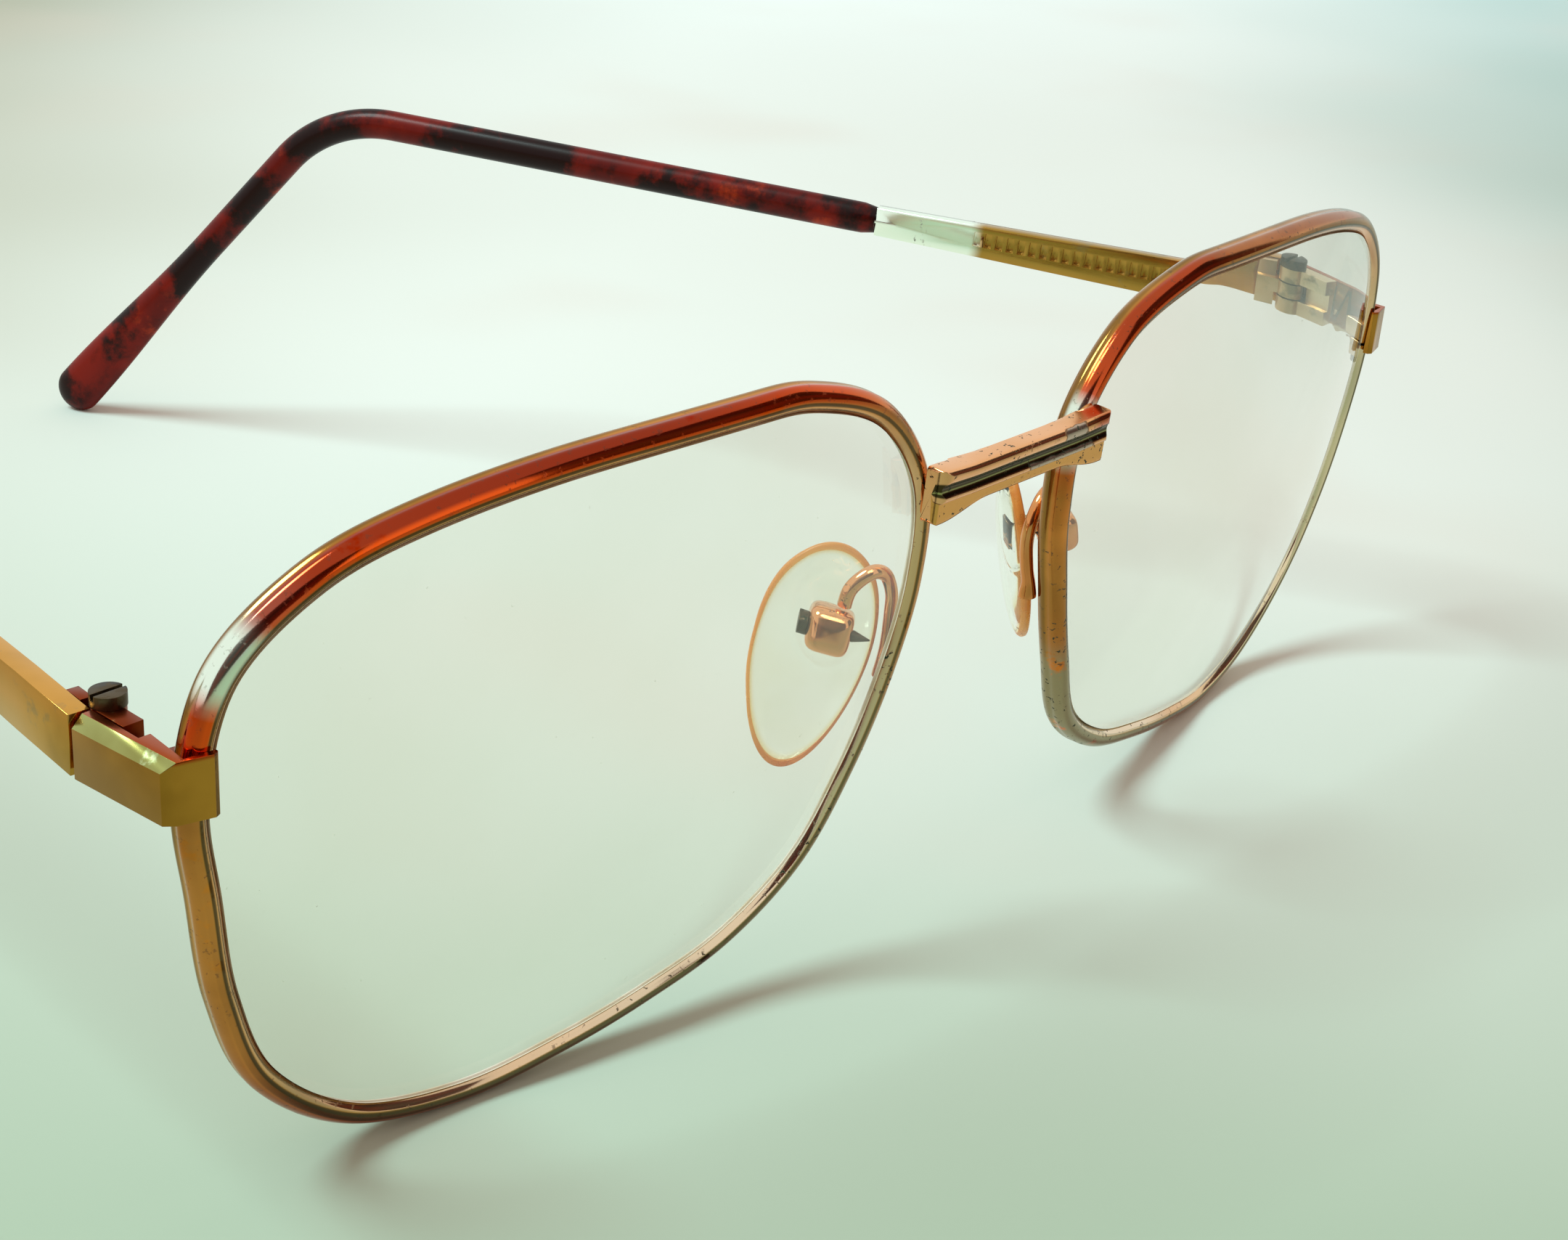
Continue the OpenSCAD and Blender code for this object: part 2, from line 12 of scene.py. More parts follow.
import bmesh
import bpy
import numpy as np
from mathutils import Matrix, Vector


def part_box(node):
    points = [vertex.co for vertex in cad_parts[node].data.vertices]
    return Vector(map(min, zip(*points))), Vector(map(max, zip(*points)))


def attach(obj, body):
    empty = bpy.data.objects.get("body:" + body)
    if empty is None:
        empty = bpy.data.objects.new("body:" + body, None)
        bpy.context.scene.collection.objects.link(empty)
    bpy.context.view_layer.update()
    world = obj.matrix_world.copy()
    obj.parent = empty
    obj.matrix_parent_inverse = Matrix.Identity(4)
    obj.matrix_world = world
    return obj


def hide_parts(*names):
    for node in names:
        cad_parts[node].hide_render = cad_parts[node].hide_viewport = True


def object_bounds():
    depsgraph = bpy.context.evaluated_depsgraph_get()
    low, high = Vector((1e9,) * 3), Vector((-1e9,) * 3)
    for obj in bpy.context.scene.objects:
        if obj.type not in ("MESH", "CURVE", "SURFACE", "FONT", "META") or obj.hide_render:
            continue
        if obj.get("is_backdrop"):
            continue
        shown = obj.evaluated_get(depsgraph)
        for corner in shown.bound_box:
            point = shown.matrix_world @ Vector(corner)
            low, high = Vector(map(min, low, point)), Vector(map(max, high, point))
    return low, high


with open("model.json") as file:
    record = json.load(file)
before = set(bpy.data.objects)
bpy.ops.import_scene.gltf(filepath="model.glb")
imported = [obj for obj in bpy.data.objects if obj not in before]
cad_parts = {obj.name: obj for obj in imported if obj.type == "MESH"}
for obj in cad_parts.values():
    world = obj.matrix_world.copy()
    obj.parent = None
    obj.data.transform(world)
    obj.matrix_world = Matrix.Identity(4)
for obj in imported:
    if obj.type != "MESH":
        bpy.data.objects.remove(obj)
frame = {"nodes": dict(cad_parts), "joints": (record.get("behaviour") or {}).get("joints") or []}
cad_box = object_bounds()
nodes = frame["nodes"]
joints = {joint["name"]: joint for joint in frame["joints"]}
MM = 0.001
SIDES = {"left": 1, "right": -1}
print("solid pieces:", len(nodes), "box in mm:", [round(v / MM, 1) for v in cad_box[1] - cad_box[0]])

# %% [markdown]
# ## Sizes of the front
# A rim is a wire bent round a lens. Its middle line is one closed smooth curve through a few
# points, laid on a ball-shaped surface. The same sizes as in the solid model are used, so every
# new surface lands on the solid that it stands for.

# %% Sizes in millimetres
LENS_W, LENS_H, BRIDGE_W = 54.0, 44.6, 17.0
BASE_R, APEX_UP = 130.0, 6.0
WRAP, TILT = math.radians(6.5), math.radians(3.5)
RIM_W, RIM_D, GROOVE_DEPTH, GROOVE_W = 1.7, 2.3, 0.5, 1.0
OUTLINE = np.array([
    (1, 0.27), (0.94, 0.58), (0.76, 0.79), (0.53, 0.9), (0.17, 0.97), (-0.32, 0.99), (-0.56, 0.97),
    (-0.81, 0.85), (-0.98, 0.59), (-1, 0.27), (-0.94, -0.04), (-0.85, -0.33), (-0.72, -0.62),
    (-0.5, -0.81), (-0.24, -0.9), (0.01, -0.96), (0.29, -1), (0.58, -0.93), (0.81, -0.69),
    (0.92, -0.37), (0.97, -0.04),
])
print("points on the outline:", len(OUTLINE))


# %% The curve through points
def cubic(a, b, c, d, t):
    """Point between b and c at share t: the cubic that leaves b along c - a and meets c along d - b."""
    return (2*b + (c - a)*t + (2*a - 5*b + 4*c - d)*t**2 + (3*b - a - 3*c + d)*t**3) / 2


def outline(s):
    """Middle line of the wire at the places s, flat: one cubic for each span of the closed outline."""
    s = np.asarray(s, float)
    i = np.floor(s).astype(int)
    a, b, c, d = (OUTLINE[(i + k) % len(OUTLINE)] for k in (-1, 0, 1, 2))
    return cubic(a, b, c, d, (s - i)[..., None]) * [LENS_W/2, LENS_H/2]


def through(points, per_span):
    """Open smooth line through the points, per_span steps to a span; a point given twice is a corner."""
    p = np.array(points, float)
    p = np.vstack([p[:1], p, p[-1:]])
    s = np.linspace(0, len(points) - 1, (len(points) - 1)*per_span + 1)
    i = np.minimum(s.astype(int), len(points) - 2)
    return cubic(p[i], p[i + 1], p[i + 2], p[i + 3], (s - i)[:, None])


print("outline starts at", outline(0).round(2))


# %% From the flat outline to its place on the table
def sag(u, v):
    """How far a ball of radius BASE_R falls back behind its foremost point, at u across and v up."""
    return BASE_R - np.sqrt(BASE_R**2 - u*u - (v - APEX_UP)**2)


def rim_point(s, n, b):
    """A point n outwards from the wire's middle and b behind it, where outwards is square to the outline."""
    p, ahead = outline(s), outline(s + 0.02) - outline(s - 0.02)
    ahead /= np.linalg.norm(ahead, axis=-1, keepdims=True)
    u, v = p[..., 0] + n*ahead[..., 1], p[..., 1] - n*ahead[..., 0]
    return np.stack([u, sag(p[..., 0], p[..., 1]) + b + 0*u, v], -1)


def lens_to_front(p):
    """Turns a lens by the wrap angle about the upright and moves it beside the nose."""
    x, y, z = np.moveaxis(np.asarray(p, float), -1, 0)
    return np.stack([LENS_W/2 + BRIDGE_W/2 + x*math.cos(WRAP) - y*math.sin(WRAP),
                     x*math.sin(WRAP) + y*math.cos(WRAP), z - APEX_UP], -1)


def leaned(p):
    """Leans the front back by the tilt angle about the crosswise axis."""
    x, y, z = np.moveaxis(np.asarray(p, float), -1, 0)
    return np.stack([x, y*math.cos(TILT) - z*math.sin(TILT), y*math.sin(TILT) + z*math.cos(TILT)], -1)


def on_side(p, side):
    """The left piece itself, or its mirror image for the right."""
    return p * [side, 1, 1]


print("a lens is", round(float(sag(27, 6)), 2), "mm deep at its side")

# %% [markdown]
# ## Turning a grid of points into a mesh
# All new pieces are grids: rows along the piece, and points round each row. Neighbouring rows
# are joined by four-sided faces, and each end is closed with a fan of triangles. The sum of
# small pyramids from the origin to each face gives the volume. If it is negative, the faces
# look inwards and are turned round. Each face also remembers its row and its place in the row
# as a UV map, and the finishes use that to follow the piece.


# %% Grids to meshes
def skin(grid):
    """Faces and UVs of a closed tube: rows of the grid are joined by quads, and a middle point closes each end."""
    rows, around = grid.shape[:2]
    points = np.vstack([grid.reshape(-1, 3), grid[0].mean(0), grid[-1].mean(0)])
    i, j = np.meshgrid(np.arange(rows - 1), np.arange(around), indexing="ij")
    k = (j + 1) % around
    quads = np.stack([i*around + j, i*around + k, (i + 1)*around + k, (i + 1)*around + j], -1).reshape(-1, 4)
    u0, u1, v0, v1 = i/(rows - 1), (i + 1)/(rows - 1), j/around, (j + 1)/around
    quad_uv = np.stack([u0, v0, u0, v1, u1, v1, u1, v0], -1).reshape(-1, 4, 2)
    j = np.arange(around)
    k = (j + 1) % around
    first, last = rows*around, (rows - 1)*around
    fans = np.vstack([np.stack([k, j, 0*j + first], -1), np.stack([j + last, k + last, 0*j + first + 1], -1)])
    v0, v1, zero, one = j/around, (j + 1)/around, 0*j, 0*j + 1
    fan_uv = np.vstack([np.stack([zero, v1, zero, v0, zero, v0], -1), np.stack([one, v0, one, v1, one, v0], -1)])
    return points, quads, quad_uv, fans, fan_uv.reshape(-1, 3, 2)


def volume(points, quads, fans):
    """Sum over all faces of a sixth of (corner . (next corner x last corner))."""
    tris = np.vstack([quads[:, :3], quads[:, [0, 2, 3]], fans])
    a, b, c = (points[tris[:, n]] for n in range(3))
    return np.einsum("ij,ij->", a, np.cross(b, c)) / 6


def piece(name, grids, body, finish, stands_for, sharp=40):
    """One object from closed grids in millimetres: it rides on a body and stands for CAD nodes."""
    points, faces, uvs, made = [], [], [], 0.0
    for grid in grids:
        p, quads, quad_uv, fans, fan_uv = skin(np.asarray(grid, float))
        size = volume(p, quads, fans)
        if size < 0:
            quads, quad_uv, fans, fan_uv = quads[:, ::-1], quad_uv[:, ::-1], fans[:, ::-1], fan_uv[:, ::-1]
        start = sum(map(len, points))
        points.append(p)
        faces += (quads + start).tolist() + (fans + start).tolist()
        uvs += [quad_uv.reshape(-1), fan_uv.reshape(-1)]
        made += abs(size)
    mesh = bpy.data.meshes.new(name)
    mesh.from_pydata((np.vstack(points)*MM).tolist(), [], faces)
    mesh.uv_layers.new(name="follow").data.foreach_set("uv", np.concatenate(uvs).astype(np.float32))
    return settle(name, mesh, body, finish, stands_for, sharp, made)


def linked(thing):
    """Puts an object in the scene and hands it back."""
    bpy.context.scene.collection.objects.link(thing)
    return thing


def settle(name, mesh, body, finish, stands_for, sharp, made):
    """Links a finished mesh, shades it smooth up to the sharp angle, gives it its finish and body, and hides the
    solids it stands for.
    """
    mesh.polygons.foreach_set("use_smooth", np.ones(len(mesh.polygons), bool))
    mesh.set_sharp_from_angle(angle=math.radians(sharp))
    mesh.materials.append(finish)
    shape = linked(bpy.data.objects.new(name, mesh))
    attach(shape, body)
    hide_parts(*stands_for)
    print(f"{name}: {len(mesh.polygons)} faces, {made:.1f} cubic mm")
    return shape


# %% [markdown]
# ## Soft edges for the small fittings
# The hinges, locks, screws and end pieces are stamped or turned parts with crisp shapes, and
# the solids already have them. What a solid lacks is the tiny round on each edge that catches
# light. So a copy of the solid is merged, its flat faces are made whole, and its long edges are
# bevelled. Very short edges belong to round bores and stay as they are.


# %% Copies with rounded edges
def softened(node, width, body, finish, longer=0.3, steps=2, sharp=32):
    """A merged copy of a solid with every edge over 30 degrees and `longer` mm rounded by `width` mm."""
    work = bmesh.new()
    work.from_mesh(nodes[node].data)
    bmesh.ops.remove_doubles(work, verts=work.verts, dist=0.002*MM)
    bmesh.ops.dissolve_limit(work, angle_limit=math.radians(1), verts=work.verts, edges=work.edges)
    long_edges = [e for e in work.edges if len(e.link_faces) == 2 and e.calc_length() > longer*MM
                  and e.calc_face_angle() > math.radians(30)]
    bmesh.ops.bevel(work, geom=long_edges, offset=width*MM, segments=steps, profile=0.5,
                    affect="EDGES", clamp_overlap=True)
    bmesh.ops.triangulate(work, faces=[f for f in work.faces if len(f.verts) > 4])
    mesh = bpy.data.meshes.new(node + "_soft")
    work.to_mesh(mesh)
    made = work.calc_volume() / MM**3
    work.free()
    return settle(node + "_soft", mesh, body, finish, [node], sharp, made)


# %% [markdown]
# ## Effects that the finishes share
# Old gold plating is never one colour. It drifts between bright and olive gold, wears through
# to grey nickel where it is rubbed, and gets dark green specks where salt got in. Each effect
# is a node group that gives a mask or a colour. The materials mix them in their own amounts.


# %% Helpers for node trees
def linear(r, g, b):
    """A colour named in everyday 0 to 255 steps, as the linear light that shaders work with."""
    c = np.array([r, g, b]) / 255
    return (*np.where(c <= 0.04045, c/12.92, ((c + 0.055)/1.055)**2.4).tolist(), 1.0)


def feed(node, inputs):
    """Gives each named input of a node a number, a colour or another node's output."""
    for name, value in dict(inputs).items():
        if isinstance(value, bpy.types.NodeSocket):
            node.id_data.links.new(value, node.inputs[name])
        else:
            node.inputs[name].default_value = value
    return node


def add(tree, kind, inputs=(), **settings):
    """A new node with its settings and its inputs."""
    new = tree.nodes.new(kind)
    for name, value in settings.items():
        setattr(new, name, value)
    return feed(new, inputs)


def calc(tree, operation, *values):
    """One sum of two or three values."""
    return add(tree, "ShaderNodeMath", enumerate(values), operation=operation).outputs[0]


def times(tree, first, second):
    """Two values multiplied: how one mask fades or cuts another."""
    return calc(tree, "MULTIPLY", first, second)


def capped(tree, value, gain):
    """A mask made stronger by gain, but never more than 1."""
    return calc(tree, "MINIMUM", times(tree, value, gain), 1.0)


def noise(tree, place, scale, detail, **more):
    """A soft grey cloud; the larger the scale, the smaller its lumps."""
    return add(tree, "ShaderNodeTexNoise", {"Vector": place, "Scale": scale, "Detail": detail, **more}).outputs[0]


def ramp(tree, value, low, high, start=0.0, end=1.0):
    """Turns low..high into start..end with a soft S curve, held outside."""
    limits = {"Value": value, "From Min": low, "From Max": high, "To Min": start, "To Max": end}
    return add(tree, "ShaderNodeMapRange", limits, interpolation_type="SMOOTHSTEP").outputs["Result"]


def mix(tree, mask, first, second):
    """The first colour where the mask is 0 and the second where it is 1."""
    return add(tree, "ShaderNodeMix", {0: mask, 6: first, 7: second}, data_type="RGBA").outputs[2]


def lay(tree, colour, *layers):
    """Colours laid over a colour in turn, each as far as its own mask allows."""
    for mask, tone in layers:
        colour = mix(tree, mask, colour, tone)
    return colour


def along(tree, value, stops):
    """A strength that changes along the piece: pairs of place and strength, joined smoothly."""
    node = add(tree, "ShaderNodeValToRGB", {0: value})
    node.color_ramp.interpolation = "EASE"
    elements = node.color_ramp.elements
    while len(elements) < len(stops):
        elements.new(0.5)
    for element, (place, strength) in zip(elements, stops):
        element.position, element.color = place, (strength, strength, strength, 1)
    return node.outputs[0]


def effect(name, inputs, output, kind="NodeSocketFloat"):
    """An empty node group with named inputs and one output."""
    tree = bpy.data.node_groups.new(name, "ShaderNodeTree")
    for label, value in inputs.items():
        is_vector = value is None or isinstance(value, tuple) and len(value) == 3
        kind_of = "Vector" if is_vector else "Color" if isinstance(value, tuple) else "Float"
        socket = tree.interface.new_socket(label, in_out="INPUT", socket_type="NodeSocket" + kind_of)
        if value is not None:
            socket.default_value = value
    tree.interface.new_socket(output, in_out="OUTPUT", socket_type=kind)
    return tree, tree.nodes.new("NodeGroupInput").outputs, tree.nodes.new("NodeGroupOutput").inputs


def use(tree, group, **values):
    """Places a node group in a material with its own values and gives its output."""
    return add(tree, "ShaderNodeGroup", values, node_tree=group).outputs[0]


def blank(name):
    """A new material, its node tree, its shader, and the node output that says where a point lies."""
    material = bpy.data.materials.new(name)
    material.use_nodes = True
    tree = material.node_tree
    return material, tree, tree.nodes["Principled BSDF"], tree.nodes.new("ShaderNodeTexCoord").outputs["Object"]


print("node helpers ready")

# %% Patches and specks
patches, given, gives = effect("patches", {"Place": None, "Size": 150.0, "Cover": 0.4, "Edge": 0.1}, "Mask")
cloud = noise(patches, given["Place"], given["Size"], 6.0, Roughness=0.62)
start = calc(patches, "SUBTRACT", 0.78, times(patches, given["Cover"], 0.56))
patches.links.new(ramp(patches, cloud, start, calc(patches, "ADD", start, given["Edge"])), gives[0])

specks, given, gives = effect("specks", {"Place": None, "Size": 900.0, "Reach": 0.25, "Cover": 0.5}, "Mask")
RIPPLE = 1.2*MM
ripple = add(specks, "ShaderNodeTexNoise", {"Vector": given["Place"], "Scale": 2600.0, "Detail": 2.0}).outputs[1]
moved = add(specks, "ShaderNodeVectorMath", {0: ripple, 1: (RIPPLE, RIPPLE, RIPPLE), 2: given["Place"]},
            operation="MULTIPLY_ADD").outputs[0]
cells = add(specks, "ShaderNodeTexVoronoi", {"Vector": moved, "Scale": given["Size"]}).outputs["Distance"]
dots = ramp(specks, cells, given["Reach"], 0.0)
cloud = noise(specks, given["Place"], 190.0, 4.0)
where = ramp(specks, cloud, calc(specks, "SUBTRACT", 0.75, times(specks, given["Cover"], 0.5)), 0.8)
specks.links.new(times(specks, ramp(specks, dots, 0.1, 0.6), ramp(specks, where, 0.0, 0.25)), gives[0])
print("made:", patches.name, specks.name)

# %% Spots and bands
spot, given, gives = effect("spot", {"Place": None, "Centre": (0.0, 0.0, 0.0), "Reach": 0.005, "Ragged": 0.3},
                            "Mask")
away = add(spot, "ShaderNodeVectorMath", {0: given["Place"], 1: given["Centre"]}, operation="DISTANCE")
cloud = noise(spot, given["Place"], 420.0, 4.0)
bent = calc(spot, "MULTIPLY_ADD", calc(spot, "SUBTRACT", cloud, 0.5), given["Ragged"],
            calc(spot, "DIVIDE", away.outputs["Value"], given["Reach"]))
spot.links.new(ramp(spot, bent, 1.0, 0.75), gives[0])

band, given, gives = effect("band", {"Value": 0.5, "Centre": 0.5, "Half": 0.1, "Soft": 0.05}, "Mask")
away = calc(band, "ABSOLUTE", calc(band, "SUBTRACT", given["Value"], given["Centre"]))
band.links.new(ramp(band, away, calc(band, "ADD", given["Half"], given["Soft"]), given["Half"]), gives[0])


def stripe(tree, value, centre, half, soft):
    """A mask that is 1 where the value is within half of the centre, and fades out over soft."""
    return use(tree, band, Value=value, Centre=centre, Half=half, Soft=soft)


print("made:", spot.name, band.name)

# %% Drifting colour and rubbed height
WHITE, GREY = (1.0, 1.0, 1.0, 1.0), (0.5, 0.5, 0.5, 1.0)
drift, given, gives = effect("drift", {"Place": None, "Size": 90.0, "One": WHITE, "Other": GREY}, "Colour",
                             "NodeSocketColor")
cloud = noise(drift, given["Place"], given["Size"], 4.0)
drift.links.new(mix(drift, ramp(drift, cloud, 0.35, 0.65), given["One"], given["Other"]), gives[0])

rubbing, given, gives = effect("rubbing", {"Place": None, "Size": 2500.0}, "Height")
fine = noise(rubbing, given["Place"], given["Size"], 5.0, Roughness=0.7)
broad = noise(rubbing, given["Place"], 500.0, 2.0)
rubbing.links.new(calc(rubbing, "ADD", times(rubbing, fine, 0.4), broad), gives[0])


def drifting(tree, place, size, one, other):
    """A colour that drifts between two, each given in 0 to 255 steps."""
    return use(tree, drift, Place=place, Size=size, One=linear(*one), Other=linear(*other))


def scuffed(shader, strength, height):
    """Feeds the shader's Normal with a very low bump."""
    relief = {"Strength": strength, "Distance": 0.05*MM, "Height": height}
    feed(shader, {"Normal": add(shader.id_data, "ShaderNodeBump", relief).outputs[0]})


print("shared effects:", [g.name for g in bpy.data.node_groups])

# %% [markdown]
# ## Metal finishes
# One recipe makes every plated metal: a colour that drifts, worn patches in the metal below,
# and specks of corrosion that are dull and dark. Roughness rises in patches and specks, and a
# very low bump keeps reflections from looking like glass. Only the amounts and colours differ
# from piece to piece. Extra masks add what is special to one piece.

# %% Colours
GOLD, OLIVE = linear(232, 150, 66), linear(176, 112, 40)
PINK_GOLD, PEACH = linear(250, 180, 130), linear(228, 160, 88)
# The orange and the deep red on this line are painted reflections on the rims.
COPPER, REFLECTED_ORANGE, REFLECTED_DEEP_RED = linear(140, 56, 20), linear(255, 84, 0), linear(134, 8, 0)
# The second colour here is a painted white shine: glints on the rims and a reflection on the temples.
NICKEL, PAINTED_WHITE_SHINE = linear(150, 134, 100), linear(248, 255, 240)
# The second colour here is a near-black line along the front edge of the rim wire.
VERDIGRIS, DARK_LINE_TONE = linear(30, 42, 16), linear(34, 24, 8)
STEEL_DARK, STEEL = linear(40, 30, 22), linear(96, 80, 62)
print("colours in linear light, gold:", [round(v, 3) for v in GOLD[:3]])


# %% The plated metal recipe
def metal(name, bright, dull, worn=NICKEL, cover=0.35, speck=0.35, speck_size=1400.0, rough=0.12, size=110.0,
          extra=None):
    """A plated metal; extra may lay more colours over the drift and change both masks before the wear."""
    material, tree, shader, place = blank(name)
    colour = use(tree, drift, Place=place, Size=size, One=bright, Other=dull)
    worn_mask = use(tree, patches, Place=place, Size=size*2.4, Cover=cover, Edge=0.08)
    speck_mask = use(tree, specks, Place=place, Size=speck_size, Reach=0.34, Cover=speck)
    if extra:
        colour, worn_mask, speck_mask = extra(tree, place, colour, worn_mask, speck_mask)
    worn_rough = calc(tree, "MULTIPLY_ADD", worn_mask, 0.14, rough)
    feed(shader, {
        "Base Color": lay(tree, colour, (worn_mask, worn), (speck_mask, VERDIGRIS)),
        "Metallic": calc(tree, "SUBTRACT", 1.0, times(tree, speck_mask, 0.85)),
        "Roughness": calc(tree, "MULTIPLY_ADD", speck_mask, 0.45, worn_rough),
    })
    scuffed(shader, 0.06, calc(tree, "SUBTRACT", use(tree, rubbing, Place=place), times(tree, speck_mask, 0.8)))
    return material


def follow(tree):
    """Place along the piece and place round it, both 0 to 1, from the piece's own UV map."""
    uv = add(tree, "ShaderNodeUVMap", uv_map="follow").outputs[0]
    split = add(tree, "ShaderNodeSeparateXYZ", {0: uv})
    return split.outputs["X"], split.outputs["Y"]


# %% [markdown]
# ### The rims
# The wire's outer face has a fine dent along its middle. On the front of the wire lie painted
# reflections of a warm dark room: orange in places, deep red along the dent in others, and dark
# red towards the bottom of the rim. The nasal parts near the skin are rubbed to grey and carry
# most of the specks. At one corner of each rim a painted white glint makes the metal look nearly
# white, and so does a painted cream highlight along the left rim's outer side and low on the
# right rim's nasal side. Each stripe has its own place round the wire, and its strength depends
# on the place along the wire, which starts beside the temple and runs over the top to the nose.

# %% Rim finish
# The cream is a painted highlight on the rims.
PAINTED_CREAM_HIGHLIGHT, ROSE_GOLD = linear(236, 226, 182), linear(236, 206, 176)
# The dark red here is a painted reflection towards the bottom of the rims.
REFLECTED_DARK_RED, EDGE_OLIVE = linear(84, 14, 2), linear(96, 70, 24)
# Places round the wire, each a middle, a half width and a softness. The front holds the painted orange reflection,
# the dent the painted deep red reflection, under the painted dark red reflection and face the painted white glint;
# edge, lip and the dark line along the wire's front carry olive, rose gold and near black.
ROUND_THE_WIRE = {"dent": (0.315, 0.055, 0.05), "front": (0.35, 0.085, 0.04), "face": (0.33, 0.11, 0.05),
                  "edge": (0.17, 0.03, 0.03), "under": (0.445, 0.03, 0.025), "dark_line": (0.476, 0.012, 0.014),
                  "lip": (0.56, 0.05, 0.02)}


def rim_finish(name, **strengths):
    """The plated metal with stripes; each strength is a list of pairs of place along the wire and amount."""
    def lines(tree, place, colour, worn_mask, speck_mask):
        run, around = follow(tree)
        on = {label: stripe(tree, around, *sizes) for label, sizes in ROUND_THE_WIRE.items()}
        strong = {label: along(tree, run, stops) for label, stops in strengths.items()}
        patchy = ramp(tree, use(tree, patches, Place=place, Size=160.0, Cover=0.85, Edge=0.3), -0.6, 0.4)
        # A painted orange reflection along the front of the wire, broken into patches.
        warm = times(tree, times(tree, on["front"], strong["ember"]), patchy)
        colour = lay(
            tree, colour,
            # A painted cream highlight where pale is strong.
            (strong["pale"], PAINTED_CREAM_HIGHLIGHT),
            (times(tree, on["lip"], capped(tree, strong["grey"], 1.7)), ROSE_GOLD),
            # The painted orange reflection.
            (capped(tree, warm, 1.5), REFLECTED_ORANGE),
            # A painted deep red reflection along the dent.
            (times(tree, on["dent"], strong["red"]), REFLECTED_DEEP_RED),
            # A painted dark red reflection towards the bottom of the rim.
            (times(tree, on["under"], strong["low"]), REFLECTED_DARK_RED),
            (times(tree, on["edge"], 0.55), EDGE_OLIVE),
            # A near-black line along the front edge of the wire.
            (times(tree, on["dark_line"], 0.85), DARK_LINE_TONE),
            # A painted white glint.
            (times(tree, on["face"], strong["bright"]), PAINTED_WHITE_SHINE),
        )
        worn_mask = times(tree, times(tree, worn_mask, strong["grey"]), calc(tree, "SUBTRACT", 1.0, on["lip"]))
        return colour, worn_mask, times(tree, speck_mask, strong["green"])
    return metal(name, GOLD, OLIVE, cover=0.8, speck=0.75, rough=0.11, extra=lines)


# Along the wire: the first list places the painted orange reflection, red the painted deep red reflection, low the
# painted dark red reflection, bright the painted white glint and pale the painted cream highlight; grey is wear
# and green the specks.
near_rim = rim_finish(
    "rim_plate_right",
    ember=[(0, 0.7), (0.04, 0.85), (0.1, 0.85), (0.2, 1), (0.29, 0.6), (0.35, 0.05), (0.6, 0.05), (0.75, 0.6),
           (0.9, 0.1)],
    red=[(0, 0.1), (0.08, 0.8), (0.2, 0.9), (0.3, 0.3), (0.36, 0.05), (0.5, 0.05), (0.62, 0.6), (0.8, 0.8),
         (0.92, 0.1)],
    grey=[(0, 0.1), (0.3, 0.1), (0.42, 0.35), (0.52, 0.6), (0.66, 0.5), (0.85, 0.2)],
    green=[(0, 0.25), (0.3, 0.3), (0.45, 1), (0.6, 1), (0.75, 0.6), (0.9, 0.4)],
    bright=[(0, 0), (0.032, 0), (0.044, 1), (0.062, 1), (0.074, 0.05), (0.1, 0)],
    pale=[(0, 0), (0.56, 0), (0.64, 0.35), (0.7, 0.1), (0.8, 0), (1, 0)],
    low=[(0, 0), (0.46, 0.1), (0.56, 0.7), (0.64, 1), (0.82, 1), (0.9, 0.2), (1, 0)],
)
# For the left rim the same lists place its painted reflections, its painted glint and its painted cream highlight.
far_rim = rim_finish(
    "rim_plate_left",
    ember=[(0, 0), (0.24, 0.1), (0.31, 0.9), (0.37, 1), (0.42, 0.15), (0.47, 0), (0.62, 0.4), (0.75, 0.2),
           (0.9, 0)],
    red=[(0, 0.1), (0.2, 0.5), (0.33, 0.7), (0.38, 0.4), (0.42, 0.05), (0.52, 0.05), (0.66, 0.5), (0.8, 0.2),
         (0.95, 0)],
    grey=[(0, 0.2), (0.38, 0.15), (0.5, 0.15), (0.53, 1), (0.62, 1), (0.72, 0.3), (0.9, 0.3)],
    green=[(0, 0.2), (0.4, 0.5), (0.52, 1), (0.62, 0.9), (0.8, 0.3)],
    bright=[(0, 0), (0.366, 0), (0.376, 1), (0.396, 1), (0.406, 0), (1, 0)],
    pale=[(0, 0.5), (0.1, 0), (0.72, 0), (0.82, 0.75), (0.95, 0.8), (1, 0.6)],
    low=[(0, 0), (0.56, 0), (0.64, 0.8), (0.74, 0.7), (0.8, 0), (1, 0)],
)
print("rim finishes ready")

# %% [markdown]
# ### The rim wire
# A rim is drawn wire with a V groove inside for the lens and a rounded outside. The section is
# carried along the outline: at each station it stands square to the outline, n counts outwards
# and b backwards. The wire is split beside the temple, where a small lock closes it.

